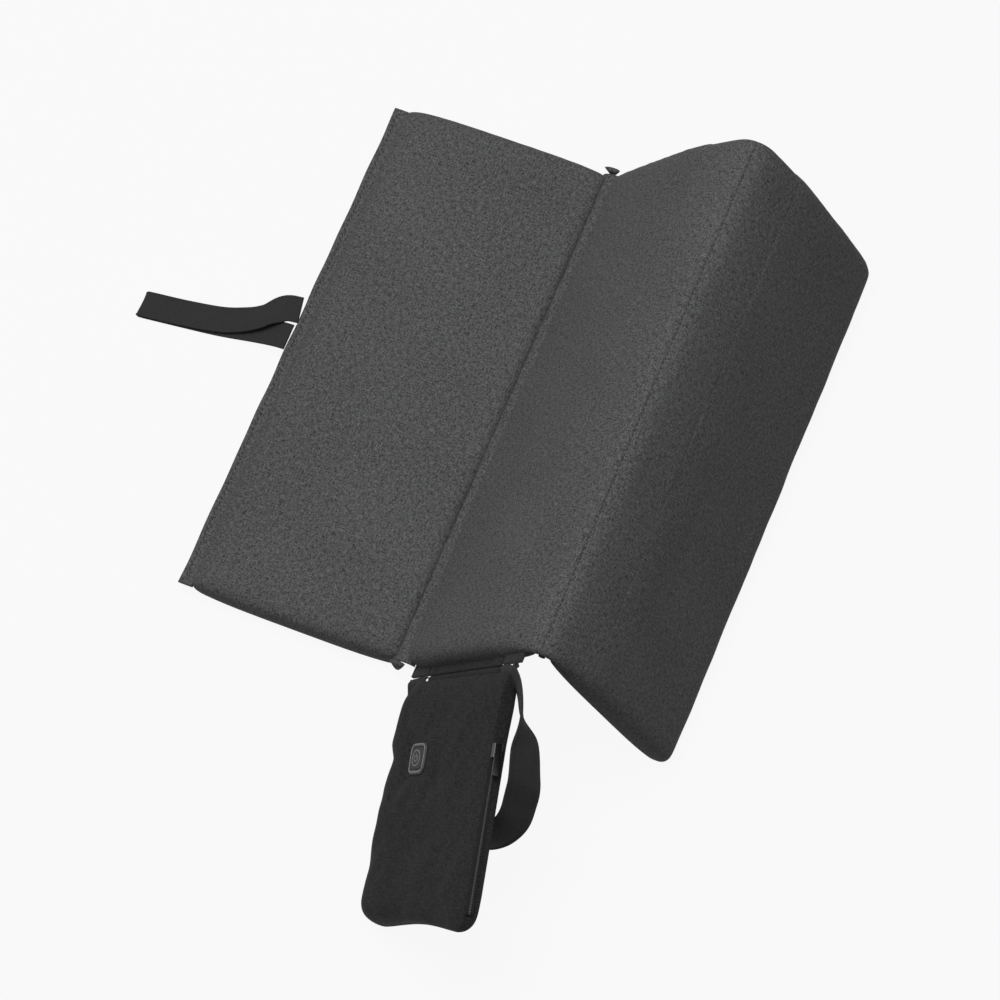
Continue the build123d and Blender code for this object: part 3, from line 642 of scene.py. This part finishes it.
ridge_rows[..., 1] = rows[:, None] * (1.0 - bow_in(place) * bow_at_ridge)
ridge_canvas = shell("ridge_canvas", ridge_rows, pad_cloth)
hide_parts("ridge_cloth")
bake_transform(ridge_canvas)


def plain(name, tone, roughness=0.6, grain=60.0, change=0.25, metallic=0.0):
    """A moulded or metal finish: a fine uneven grain in its colour, and a low bump from it.

    The grain is the number of specks in ten centimetres, and the change is how far they
    darken and lighten the tone.
    """
    material = bpy.data.materials.new(name)
    tree = empty_tree(material)
    where = node(tree, "ShaderNodeTexCoord").outputs["Object"]
    speck = node(tree, "ShaderNodeTexNoise", {"Vector": where, "Scale": grain * 10,
                                              "Detail": 3.0}).outputs["Fac"]
    dark = [part * (1 - change) for part in tone] + [1.0]
    light = [min(part * (1 + change), 1.0) for part in tone] + [1.0]
    colour = node(tree, "ShaderNodeMix", {0: speck, 6: dark, 7: light}, data_type="RGBA")
    bump = node(tree, "ShaderNodeBump", {"Strength": 0.4, "Distance": moulded_lift * mm,
                                         "Height": speck})
    shader = node(tree, "ShaderNodeBsdfPrincipled", {
        "Base Color": colour.outputs[2], "Roughness": roughness, "Metallic": metallic,
        "Specular IOR Level": moulded_specular, "Normal": bump.outputs[0]})
    node(tree, "ShaderNodeOutputMaterial", {"Surface": shader.outputs[0]})
    return material


def round_angles(count):
    """Angles evenly round a full circle."""
    return np.linspace(0, 2 * np.pi, count, endpoint=False)


def stitches(name, line, normals, pitch, length, radius, material, slant=0.0):
    """A row of stitches along a line: each thread lies on the cloth and dips in at both ends.

    A stitch is a six-sided tube whose middle line is lifted by one minus the square of the
    share of its half length, and whose tips thin to a blunt point.
    """
    place = lengths(line)
    centres = np.arange(pitch / 2, place[-1], pitch)
    middle = at_places(centres, place, line)
    ahead = unit(at_places(centres + 1, place, line) - at_places(centres - 1, place, line))
    up = unit(at_places(centres, place, normals))
    heading = ahead * np.cos(slant) + np.cross(up, ahead) * np.sin(slant)
    beside = np.cross(up, heading)
    t = np.linspace(-1, 1, thread_rows)
    turn = round_angles(thread_sides)
    thick = radius * np.sqrt(np.clip(1.05 - t ** 4, 0, 1))
    lift = radius * (1 + stitch_sink) * (1 - t ** 2) - radius * stitch_sink
    core = (middle[:, None] + heading[:, None] * (t * length / 2)[None, :, None]
            + up[:, None] * lift[None, :, None])
    skin = (core[:, :, None]
            + beside[:, None, None] * (thick[:, None] * np.cos(turn))[None, ..., None]
            + up[:, None, None] * (thick[:, None] * np.sin(turn))[None, ..., None])
    points = thread_rows * thread_sides
    first = (np.arange(len(centres)) * points)[:, None, None]
    caps = np.array([np.arange(thread_sides)[::-1], np.arange(points - thread_sides, points)])
    faces = (ring_faces(thread_rows, thread_sides) + first).reshape(-1, 4).tolist()
    faces += (caps + first).reshape(-1, thread_sides).tolist()
    return make_piece(name, skin.reshape(-1, 3), faces, material)


thread = plain("sewing_thread", (thread_tone, thread_tone, thread_tone * 1.03), 0.75, 90.0)
groove_at = int(np.argmin(np.abs(steps - crest)))
stitched = np.abs(rows) < stitched_half
seam_line = over[stitched, groove_at].copy()
seam_line[:, 1] = ridge_rows[stitched, groove_at, 1]
seam_up = np.repeat(outward[groove_at][None], len(seam_line), 0)
ridge_thread = stitches("ridge_stitching", seam_line + seam_up * thread_proud, seam_up,
                        stitch_pitch, stitch_length, thread_radius, thread)
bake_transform(ridge_thread)


# The turned-in seam allowance under the crest, a rolled cord of doubled canvas. Its radius
# rises and falls a little along it, by shares of the radius, with so many millimetres of cord
# to a radian of each wave.
roll_radius = 2.05
roll_half = 164.8
roll_swell = 0.03
roll_swell_radian = 3.1
roll_ripple = 0.02
roll_ripple_radian = 1.3
roll_rows = 130
roll_sides = 14


def tube(name, line, beside, up, profile, material):
    """A profile carried along a line: each row is the line's point plus the profile's two sizes
    along the side and up directions there."""
    grid = line[:, None] + beside[:, None] * profile[..., 0:1] + up[:, None] * profile[..., 1:2]
    return shell(name, grid, material, capped=True, weld=False)


turn = round_angles(roll_sides)
along = np.linspace(-roll_half, roll_half, roll_rows)
line = np.stack([np.full_like(along, ridge_axis[0]), along,
                 np.full_like(along, ridge_axis[2])], 1)
uneven = roll_radius * (1 + roll_swell * np.sin(along / roll_swell_radian)
                        + roll_ripple * np.sin(along / roll_ripple_radian))
profile = np.stack([uneven[:, None] * np.cos(turn), uneven[:, None] * np.sin(turn)], -1)
sideways = np.repeat([[1.0, 0.0, 0.0]], len(along), 0)
upward = np.repeat([[0.0, 0.0, 1.0]], len(along), 0)
ridge_roll = tube("ridge_seam_allowance", line, sideways, upward, profile, pad_cloth)
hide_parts("ridge_seam_roll")
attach(ridge_roll, "middle_panel")


# The valley: both pads are sewn to a narrow strip of the cover that lies at the bottom of the
# fold, with a stitched tab of cloth at each end.
gutter_x = np.array([62.6, 65.2, 66.9, 68.4, 70.2, 72.2, 74.6, 77.4])
gutter_z = np.array([15.2, 17.6, 18.6, 18.9, 19.0, 19.1, 18.6, 17.4])
gutter_wall = 1.1
gutter_half = 166.5
gutter_swell = 0.15
gutter_swell_radian = 4.0
gutter_rows = 140
tab_x = 67.7
tab_y = 168.6
tab_z = 21.6
tab_drop = 9.5
tab_lean = 0.9
tab_half_width = 4.6
tab_tip = 0.5
tab_half_depth = 1.7
tab_swell = 0.5
tab_rows = 12
tab_sides = 16

along = np.linspace(-gutter_half, gutter_half, gutter_rows)
section = np.stack([np.concatenate([gutter_x, gutter_x[::-1]]),
                    np.concatenate([gutter_z, gutter_z[::-1] - gutter_wall])], 1)
gutter = np.zeros((len(along), len(section), 3))
gutter[..., 0] = section[:, 0]
gutter[..., 1] = along[:, None]
gutter[..., 2] = section[:, 1] + gutter_swell * np.sin(along / gutter_swell_radian)[:, None]
valley_cloth = shell("valley_cloth", gutter, pad_cloth, capped=True, weld=False)
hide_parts("valley_seam")
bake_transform(valley_cloth)


def squarer(wave, power):
    """A cosine or sine whose size is raised to a power below one, so its round turns square."""
    return np.sign(wave) * np.abs(wave) ** power


for end, name in ((-1, "near_valley_tab"), (1, "far_valley_tab")):
    t = np.linspace(0, 1, tab_rows)
    wide = tab_half_width * (1 - t) ** 0.7 + tab_tip
    deep = tab_half_depth * np.sqrt(np.clip(1 - (2 * t - 1) ** 4, 0.02, 1))
    turn = round_angles(tab_sides)
    grid = np.zeros((tab_rows, tab_sides, 3))
    grid[..., 0] = tab_x + wide[:, None] * squarer(np.cos(turn), 0.8)
    grid[..., 1] = end * (tab_y + tab_lean * t[:, None] + deep[:, None] * np.sin(turn))
    grid[..., 2] = (tab_z - tab_drop * t)[:, None] + tab_swell * np.cos(turn)
    tab = shell(name, grid, pad_cloth, capped=True, weld=False)
    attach(tab, "left_panel")


# The outer hem: the edges of both covers folded in and stitched flat along the left pad. The
# closing loop's two ends are caught in it.
hem_inner = -66.4
hem_outer = -75.5
hem_half_thick = 1.15
hem_half_length = 165.5
hem_rows = 220
hem_wave = 0.28
hem_wave_size = 30.0
hem_rise = 0.25
hem_rise_size = 42.0
hem_stitch_x = -72.3
hem_stitch_sink = 0.86
hem_stitch_follow = 0.6
hem_pitch = 3.4
hem_stitch_length = 2.9
hem_thread_radius = 0.36
hem_slant = 0.55

# The hem's profile, from its outer edge inwards: the share of its width, and of its half
# thickness, with a narrow dip under the stitches.
hem_across = np.array([0.0, 0.03, 0.10, 0.30, 0.345, 0.39, 0.6, 0.8, 1.0])
hem_thick = np.array([0.0, 0.62, 0.95, 1.0, 0.72, 1.0, 1.0, 0.92, 0.9])
round_x = np.concatenate([hem_across, hem_across[::-1][:-1]])
round_z = np.concatenate([hem_thick, -hem_thick[::-1][:-1]])

along = np.linspace(-hem_half_length, hem_half_length, hem_rows)
wave = hem_wave * ripples(along * 0, along, hem_wave_size, 61)
rise = hem_rise * ripples(along * 0, along, hem_rise_size, 62)
hem_grid = np.zeros((len(along), len(round_x), 3))
hem_grid[..., 0] = hem_outer + (hem_inner - hem_outer) * round_x + (wave[:, None]
                                                                    * (1 - round_x))
hem_grid[..., 1] = along[:, None]
hem_grid[..., 2] = cover_seam + hem_half_thick * round_z + rise[:, None] * (1 - round_x)
outer_hem = shell("outer_hem_fold", hem_grid, pad_cloth, capped=True, weld=False)
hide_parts("outer_hem")
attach(outer_hem, "left_panel")
seam_line = np.stack([hem_stitch_x + wave * hem_stitch_follow, along,
                      cover_seam + hem_half_thick * hem_stitch_sink
                      + rise * hem_stitch_follow], 1)[3:-3]
seam_up = np.repeat([[0.0, 0.0, 1.0]], len(seam_line), 0)
hem_thread = stitches("hem_stitching", seam_line, seam_up, hem_pitch, hem_stitch_length,
                      hem_thread_radius, thread, slant=hem_slant)
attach(hem_thread, "left_panel")


# The closing loop: flat elastic webbing with bound edges, folded at its tip and sewn into the
# hem at both ends. It lies out to the left and keeps the folded cushion shut.
loop_width = 17.0
loop_thickness = 1.4
loop_root_narrower = 0.4
loop_root_thicker = 1.02
loop_root_start = -75.1
loop_root_end = -70.0
webbing_tone = 0.032

# The webbing's profile, from one edge to the other: the share of its half thickness and of its
# half width, with a raised border along both edges.
rise_share = [0.0, 0.70, 1.0, 1.0, 0.60, 0.84, 0.9, 0.9, 0.84, 0.60, 1.0, 1.0, 0.70]
side_share = [-1.0, -0.985, -0.93, -0.83, -0.78, -0.73, -0.3, 0.3, 0.73, 0.78, 0.83, 0.93, 0.985]


def smooth_route(stops, step):
    """A smooth line through stops: each span is a cubic whose slopes come from the stops
    beside it, with a point about every step."""
    before = np.concatenate([2 * stops[:1] - stops[1:2], stops, 2 * stops[-1:] - stops[-2:-1]])
    pieces = []
    for index in range(len(stops) - 1):
        a, b, c, d = before[index:index + 4]
        count = max(int(np.linalg.norm((c - b)[:3]) / step), 2)
        t = np.linspace(0, 1, count, endpoint=False)[:, None]
        pieces.append(0.5 * (2 * b + (c - a) * t + (2 * a - 5 * b + 4 * c - d) * t ** 2
                             + (3 * b - a - 3 * c + d) * t ** 3))
    pieces.append(stops[-1:])
    return np.concatenate(pieces)


def webbing(name, stops, width, thickness, material, step=1.6):
    """Webbing carried along a smooth route; each stop is a centre and the direction of the
    width. The profile has a raised, rounded edge on both sides."""
    route = smooth_route(np.array([[*centre, *across] for centre, across in stops], float), step)
    line, across = route[:, :3], route[:, 3:]
    ahead = unit(np.gradient(line, axis=0))
    across = unit(across - ahead * np.sum(across * ahead, axis=1)[:, None])
    up = np.cross(ahead, across)
    xs = np.array(side_share + [1.0] + side_share[::-1][:-1])
    zs = np.array(rise_share + [0.0] + [-share for share in rise_share[::-1]][:-1])
    profile = np.stack([xs * width / 2, zs * thickness / 2], 1)[None]
    return tube(name, line, across, up, np.repeat(profile, len(line), 0), material)


webbing_cloth = canvas("charcoal_webbing", webbing_tone, 0.22, 0.75, grain=0.6, streak=0.8,
                       sheen=0.03, lift=0.18)
loop_stops = [
    ((-76.4, 1.9, 9.5), (0, 1, 0)), ((-84.0, 1.8, 8.4), (0, 1, 0)),
    ((-98.0, 1.2, 4.6), (0.03, 1, 0)), ((-120.0, -1.3, 1.4), (0.05, 1, 0)),
    ((-145.0, -4.0, 0.85), (0.06, 1, 0)), ((-166.0, -6.2, 0.85), (0.06, 1, 0)),
    ((-170.0, -6.6, 1.25), (0.06, 1, 0)), ((-171.0, -6.7, 1.95), (0.06, 1, 0)),
    ((-170.0, -6.5, 2.7), (0.06, 1, 0)), ((-166.0, -6.1, 3.0), (0.06, 1, 0)),
    ((-145.0, -3.7, 3.1), (0.07, 1, 0)), ((-122.0, -0.2, 4.0), (0.10, 1, 0)),
    ((-108.0, 3.9, 6.0), (0.20, 1, 0)), ((-98.5, 8.2, 8.4), (0.36, 1, 0)),
    ((-91.5, 13.6, 10.0), (0.42, 1, 0)), ((-84.5, 18.8, 10.3), (0.2, 1, 0)),
    ((-76.4, 20.6, 9.5), (0, 1, 0)),
]
closing_loop = webbing("closing_webbing", loop_stops, loop_width, loop_thickness, webbing_cloth)
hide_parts("closing_loop")
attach(closing_loop, "closing_loop")
for centre, name in ((2.6, "near_loop_end"), (20.4, "far_loop_end")):
    root = webbing(name, [((loop_root_start, centre, cover_seam), (0, 1, 0)),
                          ((loop_root_end, centre, cover_seam), (0, 1, 0))],
                   loop_width - loop_root_narrower, loop_thickness * loop_root_thicker,
                   webbing_cloth, 1.0)
    if name == "near_loop_end":
        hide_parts("loop_ends")
    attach(root, "left_panel")


# The carry handle: one length of the same webbing, from the left end of the middle pad's end
# seam, round behind the pouch, to its right end at the ridge.
hang_centre = np.array([116.70156, -172.5, 70.25098])
near = np.array([0.0, -1.0, 0.0])
anchor_centre = 56.4
handle_width = 20.0
handle_thickness = 1.6
handle_lip = 1.7
handle_root_width = 20.8
handle_root_thickness = 2.3
handle_root_depths = (-9.0, -4.0, 0.2)
handle_drop = 84.0
handle_depth = 49.0

# The handle's stops: the shares of the anchors' distance, the drop and the depth, then how far
# its width lies across the pad and how far it stands up.
handle_shares = [
    (-1.0, .055, 0, 1, 0), (-1.03, .13, .13, 1, .5), (-1.05, .26, .24, .55, .85),
    (-1.04, .48, .43, .15, 1), (-.99, .68, .635, .3, 1), (-.895, .79, .80, .3, 1),
    (-.71, .90, .92, 0, 1), (-.39, .975, .98, 0, 1), (0, 1, 1, 0, 1), (.39, .975, .98, 0, 1),
    (.71, .90, .92, 0, 1), (.905, .80, .815, -.15, 1), (1.10, .69, .65, -.2, 1),
    (1.20, .49, .43, -.3, 1), (1.20, .31, .245, -1, .6), (1.10, .14, .13, -1, .45),
    (1.0, .055, 0, -1, 0),
]


def hang_point(across, down, back):
    """A point by its place from the middle of the end seam: across, outward and behind."""
    return hang_centre + middle_across * across + near * down - middle_up * back


def root_stops(across, depths):
    """Stops straight into the end seam, for a root with its width along the seam."""
    return [(hang_point(across, depth, 0), middle_across) for depth in depths]


handle_stops = [
    (hang_point(-anchor_centre, handle_lip, 0), middle_across),
    *((hang_point(share * anchor_centre, down * handle_drop, back * handle_depth),
       middle_across * lying - middle_up * standing)
      for share, down, back, lying, standing in handle_shares),
    (hang_point(anchor_centre, handle_lip, 0), -middle_across)]
carry_handle = webbing("carry_webbing", handle_stops, handle_width, handle_thickness,
                       webbing_cloth)
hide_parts("carry_handle")
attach(carry_handle, "carry_handle")
for centre, name, hidden in ((-anchor_centre, "left_handle_root", "left_handle_anchor"),
                             (anchor_centre, "right_handle_root", "right_handle_anchor")):
    root = webbing(name, root_stops(centre, handle_root_depths), handle_root_width,
                   handle_root_thickness, webbing_cloth, 1.0)
    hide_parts(hidden)
    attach(root, "middle_panel")


# The battery pouch: two panels of a coarser charcoal canvas seamed round the sides, slack at
# the top and filled by the battery below. It hangs from the end seam by a short neck.
pouch_down = np.array([0.2126458, -0.9657182, -0.1488962])
pouch_across = middle_across
pouch_front = np.array([-0.7910701, -0.2595926, 0.5539132])
pouch_width = 105.0
pouch_seam = 9.0
pouch_start = 5.5
pouch_end = 150.0
pouch_length = pouch_end - pouch_start
pouch_origin = hang_centre - pouch_across * (pouch_width / 2) - pouch_front * pouch_seam
pouch_tone = 0.021

# The outline of the bag: where its two edges lie at these places down it, how its top and
# bottom close, and how its bottom corners turn.
edge_places = [5, 20, 44, 52, 60, 70, 100, 130, 150]
left_edge_at = [6.5, 4.0, 0.6, 2.6, 1.2, -0.8, -3.2, -4.6, -4.4]
right_edge_at = [110.0, 107.0, 104.8, 104.8, 104.8, 104.8, 104.8, 104.6, 103.0]
slack_top = 0.30
top_close = 20.0
bottom_close = 15.0
bottom_corner = 8.0

# The front panel, which falls a little towards its right, and the levels of the side seams and
# of the back panel.
front_height = 22.4
front_fall = 0.135
front_left_run = 14.0
front_right_run = 13.0
front_power = 2.1
left_seam = 13.5
right_seam = 11.6
back_seam = 5.0
back_depth = 4.9
back_left_run = 9.0
back_right_run = 7.0
back_power = 2.4

# The flat patch that the button sits on, and the puckers round it.
button_across = 38.5
button_down = 53.5
button_seat = 21.98
button_patch = 10.2
patch_run = 9.0
pucker_start = 12.5
pucker_run = 4.0
pucker_fade = 9.0
pucker_height = 0.45
pucker_count = 6.0
pucker_turn = 0.8

# The swells of the front, the fold that runs up from the button with a crease beside it, and
# the dent between the button and the left edge.
front_swell = 0.5
front_swell_size = 34.0
front_ripple = 0.22
front_ripple_size = 13.0
fold_foot = 43.0
fold_lean = 0.34
fold_from = 20.0
fold_to = 44.0
fold_start_run = 8.0
fold_end_run = 4.0
fold_height = 0.9
fold_half = 1.9
crease_depth = 0.7
crease_beside = 4.0
crease_half = 2.6
dent_depth = 1.3
dent_across = 10.0
dent_half_width = 7.0
dent_down = 54.0
dent_half_height = 6.0

# The bottom edge is hollow between its corners, and hangs lower at its right.
hollow_depth = 3.0
hollow_from = 115.0
hollow_run = 35.0
skew_across = 4.5
skew_up = 1.0
skew_from = 100.0
skew_run = 50.0

# How close the bag's points lie: across its front, and down it, where they close up at the top
# and the bottom.
pouch_share_step = 0.018
pouch_edge_share = 0.13
pouch_step = 1.9
pouch_top_run = 16.0
pouch_bottom_run = 14.0

pouch_cloth = canvas("pouch_canvas", pouch_tone, 0.62, 1.15, lift=0.16)


def on_pouch(x, level, s):
    """A point of the pouch by its place across, outward and down it."""
    return (pouch_origin + x[..., None] * pouch_across + level[..., None] * pouch_front
            + s[..., None] * pouch_down)


# Each row is a ring: over the front, down the right side, back over the rear and up the left
# side. Part numbers these four, and u is the share of the way from the left edge to the right.
u_top = side_spacing(1.0, pouch_share_step, (pouch_edge_share, pouch_edge_share))
u_low = u_top[::-1][::2]
wall = np.linspace(0, 1, 7)[1:-1]
u = np.concatenate([u_top, np.ones(len(wall)), u_low, np.zeros(len(wall))])[None, :]
part = np.repeat([0, 1, 2, 3], [len(u_top), len(wall), len(u_low), len(wall)])[None, :]
down_wall = np.concatenate([np.zeros(len(u_top)), wall, np.ones(len(u_low)),
                            wall[::-1]])[None, :]
s_top = pouch_top_run * (1 - np.cos(np.linspace(0, np.pi / 2, 12)))
s_even = np.arange(pouch_top_run + 2, pouch_length - pouch_bottom_run - 1, pouch_step)
s_low = pouch_length - pouch_bottom_run * (1 - np.cos(np.linspace(0, np.pi / 2, 13)))
s = pouch_start + np.concatenate([s_top, s_even, s_low[::-1]])[:, None]

full = ((slack_top + (1 - slack_top) * rounded(s - pouch_start, top_close, 2.0))
        * rounded(pouch_end - s, bottom_close, 2.4))
corner = np.clip(s - (pouch_end - bottom_corner), 0, bottom_corner)
draw = bottom_corner - np.sqrt(bottom_corner ** 2 - corner ** 2)
left = np.interp(s, edge_places, left_edge_at) + draw
right = np.interp(s, edge_places, right_edge_at) - draw
x = left + (right - left) * u
edge = (rounded(x - left, front_left_run, front_power)
        * rounded(right - x, front_right_run, front_power))

swell = (front_swell * ripples(x, s, front_swell_size, 71)
         + front_ripple * ripples(x, s, front_ripple_size, 72)) * edge
from_button = np.hypot(x - button_across, s - button_down)
pull = ramp(from_button - pucker_start, pucker_run) * np.exp(
    -(from_button - pucker_start) / pucker_fade)
round_button = np.arctan2(s - button_down, x - button_across)
swell = swell + pucker_height * pull * np.sin(pucker_count * round_button + pucker_turn)
fold_at = button_across + (fold_foot - s) * fold_lean
near_fold = ramp(s - fold_from, fold_start_run) * ramp(fold_to - s, fold_end_run)
swell = swell + (fold_height * hill(x - fold_at, fold_half)
                 - crease_depth * hill(x - fold_at - crease_beside, crease_half)) * near_fold
swell = swell - dent_depth * np.exp(-((x - dent_across) / dent_half_width) ** 2
                                    - ((s - dent_down) / dent_half_height) ** 2)

side_level = left_seam + (right_seam - left_seam) * u
plane = front_height - front_fall * (x - button_across)
front_level = side_level + (plane + swell - side_level) * edge
square = np.maximum(np.abs(x - button_across), np.abs(s - button_down))
off_button = ramp(square - button_patch, patch_run)
off_button = off_button * off_button * (3 - 2 * off_button)
front_level = button_seat + (front_level - button_seat) * off_button
back_level = back_seam - back_depth * (rounded(x - left, back_left_run, back_power)
                                       * rounded(right - x, back_right_run, back_power))
wall_level = np.where(part == 1, right_seam + (back_seam - right_seam) * down_wall,
                      left_seam + (back_seam - left_seam) * down_wall)
level = np.where(part == 0, front_level, np.where(part == 2, back_level, wall_level))
level = pouch_seam + (level - pouch_seam) * full

hollow = hollow_depth * np.sin(np.pi * u) ** 1.2 * ramp(s - hollow_from, hollow_run) ** 2
skew = ramp(s - skew_from, skew_run) ** 2 * (skew_across * (u - 0.5) - skew_up)
x, level, s = np.broadcast_arrays(x, level, s - hollow + skew)
pouch = shell("battery_pouch_bag", on_pouch(x, level, s), pouch_cloth, capped=True)
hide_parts("pouch_front_cloth", "pouch_back_cloth")
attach(pouch, "battery_pouch")


# The neck: doubled canvas between the end seam and the top of the pouch. Its root is sewn into
# the end of the middle pad.
neck_width = 88.0
neck_thickness = 2.3
neck_start = 1.8
neck_end = 13.0
neck_drape = 0.35
neck_drape_size = 16.0
neck_root_thickness = 2.4
neck_root_depths = (-9.0, -4.0, 0.9)
neck_rows = 8
neck_sides = 64

t = np.linspace(0, 1, neck_rows)[:, None]
centre = hang_centre + near * neck_start + (pouch_down * neck_end - near * neck_start) * t
turn = round_angles(neck_sides)
wide = squarer(np.cos(turn), 0.6) * neck_width / 2
thick = squarer(np.sin(turn), 0.3) * neck_thickness / 2
drape = neck_drape * ripples(wide[None, :], t * 12, neck_drape_size, 81) * np.sin(np.pi * t)
neck_grid = (centre[:, None] + pouch_across * wide[None, :, None]
             + pouch_front * (thick[None, :, None] + drape[..., None]))
pouch_neck = shell("pouch_neck_cloth", neck_grid, pouch_cloth, capped=True, weld=False)
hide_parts("pouch_neck")
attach(pouch_neck, "battery_pouch")
neck_root = webbing("neck_root_cloth", root_stops(0, neck_root_depths), neck_width,
                    neck_root_thickness, pouch_cloth, 1.0)
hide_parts("neck_root")
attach(neck_root, "middle_panel")


# The zip in the right side of the pouch: a woven tape with a nylon coil along its middle. The
# metal slider keeps its modelled shape.
zip_start = 46.0
zip_end = 142.0
zip_level = 9.0
tape_width = 5.0
tape_thickness = 0.6
tape_out = 0.32
coil_out = 0.72
coil_pitch = 1.5
coil_margin = 0.4
coil_radius = 0.72
coil_change = 0.20
coil_flatness = 1.1
coil_rows_each = 6
coil_sides = 10
zip_cloth = canvas("zip_tape", 0.018, 0.25, 0.5, grain=0.5, lift=0.08)
nylon = plain("zip_coil", (0.020, 0.020, 0.021), 0.42, 120.0)


def zip_point(out, s):
    """A point on the zip's middle line: so far out from the pouch's side, and so far down it."""
    return pouch_origin + pouch_across * (pouch_width + out) + pouch_front * zip_level + (
        pouch_down * s)


tape_stops = [(zip_point(tape_out, place), pouch_front)
              for place in (zip_start, (zip_start + zip_end) / 2, zip_end)]
zip_tape = webbing("zip_tape_strip", tape_stops, tape_width, tape_thickness, zip_cloth, 3.0)
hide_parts("pouch_zip")
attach(zip_tape, "battery_pouch")
along = np.arange(zip_start + coil_margin, zip_end - coil_margin, coil_pitch / coil_rows_each)
bead = coil_radius + coil_change * np.sin(2 * np.pi * along / coil_pitch)
turn = round_angles(coil_sides)
profile = bead[:, None, None] * np.stack([coil_flatness * np.cos(turn), np.sin(turn)], -1)[None]
line = np.array([zip_point(coil_out, place) for place in along])
zip_coil = tube("zip_coil_teeth", line, np.repeat(pouch_front[None], len(line), 0),
                np.repeat(pouch_across[None], len(line), 0), profile, nylon)
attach(zip_coil, "battery_pouch")


# The button: a matt rubber key in a dark moulded frame. Light printed lines mark the frame and
# the key, with a plain on and off sign in the middle.
print_tone = 0.34
print_height = 0.06
frame_top = 1.41
frame_line_half = 8.05
frame_line_width = 0.55
frame_line_power = 5.0
key_top = 1.91
key_ring_radius = 4.5
key_ring_width = 0.45
sign_radius = 1.9
sign_width = 0.42
sign_bar = [[0.0, -2.6], [0.0, -1.3], [0.0, 0.0]]
button_level = 22.02
button_centre = (pouch_origin + pouch_across * button_across + pouch_front * button_level
                 + pouch_down * button_down)
printed = plain("printed_lines", (print_tone, print_tone, print_tone), 0.55, 80.0, change=0.12)


def printed_line(name, points, width, level, body, closed=True):
    """A flat raised line of print along points in the button's plane (across, down)."""
    points = np.asarray(points, dtype=float)
    if closed:
        ahead = unit(np.roll(points, -1, 0) - np.roll(points, 1, 0))
    else:
        ahead = unit(np.gradient(points, axis=0))
    side = np.stack([ahead[:, 1], -ahead[:, 0]], 1)
    ring = np.array([[-0.5, 0.0], [0.5, 0.0], [0.5, 1.0], [-0.5, 1.0]])
    flat = points[:, None] + side[:, None] * (ring[:, 0] * width)[None, :, None]
    height = level + ring[:, 1] * print_height
    grid = (button_centre + flat[..., 0:1] * pouch_across + flat[..., 1:2] * pouch_down
            + np.broadcast_to(height, flat.shape[:2])[..., None] * pouch_front)
    last = (len(points) - 1) * 4
    faces = ring_faces(len(points), 4).tolist()
    if closed:
        faces += [[last + i, last + (i + 1) % 4, (i + 1) % 4, i] for i in range(4)]
    else:
        faces += [[3, 2, 1, 0], [last + i for i in range(4)]]
    mark = make_piece(name, grid.reshape(-1, 3), faces, printed)
    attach(mark, body)


def circle(radius, turn):
    """Points on a circle at the given angles."""
    return radius * np.stack([np.cos(turn), np.sin(turn)], 1)


turn = round_angles(72)
soft_square = frame_line_half * np.stack([squarer(np.cos(turn), 2 / frame_line_power),
                                          squarer(np.sin(turn), 2 / frame_line_power)], 1)
printed_line("frame_line", soft_square, frame_line_width, frame_top, "battery_pouch")
printed_line("key_ring", circle(key_ring_radius, round_angles(48)), key_ring_width, key_top,
             "power_button")
open_arc = np.linspace(-np.pi * 0.32, np.pi * 1.32, 26)
printed_line("on_off_arc", circle(sign_radius, open_arc), sign_width, key_top,
             "power_button", closed=False)
printed_line("on_off_bar", sign_bar, sign_width, key_top, "power_button", closed=False)


# What is inside, and the moulded parts: each keeps its modelled shape and gets its finish.
def porous(name, tone, size):
    """Open foam: pale, with darker pores of the given size in millimetres, from a pattern of
    cells, and a slight bump from the same pattern."""
    material = bpy.data.materials.new(name)
    tree = empty_tree(material)
    where = node(tree, "ShaderNodeTexCoord").outputs["Object"]
    cells = node(tree, "ShaderNodeTexVoronoi", {"Vector": where, "Scale": 1000 / size})
    colour = node(tree, "ShaderNodeMix", {0: cells.outputs["Distance"],
                                          6: [part * 0.72 for part in tone] + [1.0],
                                          7: [*tone, 1.0]}, data_type="RGBA")
    bump = node(tree, "ShaderNodeBump", {"Strength": 0.5, "Distance": 0.3 * mm,
                                         "Height": cells.outputs["Distance"]})
    shader = node(tree, "ShaderNodeBsdfPrincipled", {
        "Base Color": colour.outputs[2], "Roughness": 0.95, "Normal": bump.outputs[0]})
    node(tree, "ShaderNodeOutputMaterial", {"Surface": shader.outputs[0]})
    return material


finishes = {
    porous("pad_foam", (0.55, 0.53, 0.47), 1.6): ("foam",),
    plain("heating_film", (0.10, 0.055, 0.030), 0.45, 40.0): ("heating_film",),
    plain("lead_jacket", (0.012, 0.012, 0.013), 0.5, 60.0): ("lead",),
    plain("battery_shell", (0.022, 0.022, 0.024), 0.5, 110.0): ("battery_case", "battery_lid"),
    plain("cell_foil", (0.35, 0.36, 0.38), 0.35, 30.0, metallic=0.8): ("battery_cells",),
    plain("circuit_board", (0.010, 0.055, 0.025), 0.4, 50.0): ("board",),
    plain("plug_rubber", (0.014, 0.014, 0.015), 0.6, 90.0): ("battery_plug",),
    plain("frame_plastic", (0.020, 0.021, 0.023), 0.42, 130.0): ("button_frame", "switch_tray"),
    plain("button_rubber", (0.012, 0.012, 0.013), 0.62, 110.0): ("power_button",),
    plain("lamp_lens", (0.45, 0.44, 0.42), 0.25, 60.0, change=0.1): ("lamps",),
    plain("slider_metal", (0.055, 0.056, 0.060), 0.34, 90.0, metallic=0.9): ("zip_slider",),
}
for material, words in finishes.items():
    for name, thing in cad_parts.items():
        if any(word in name for word in words):
            for spot in thing.material_slots:
                spot.material = material
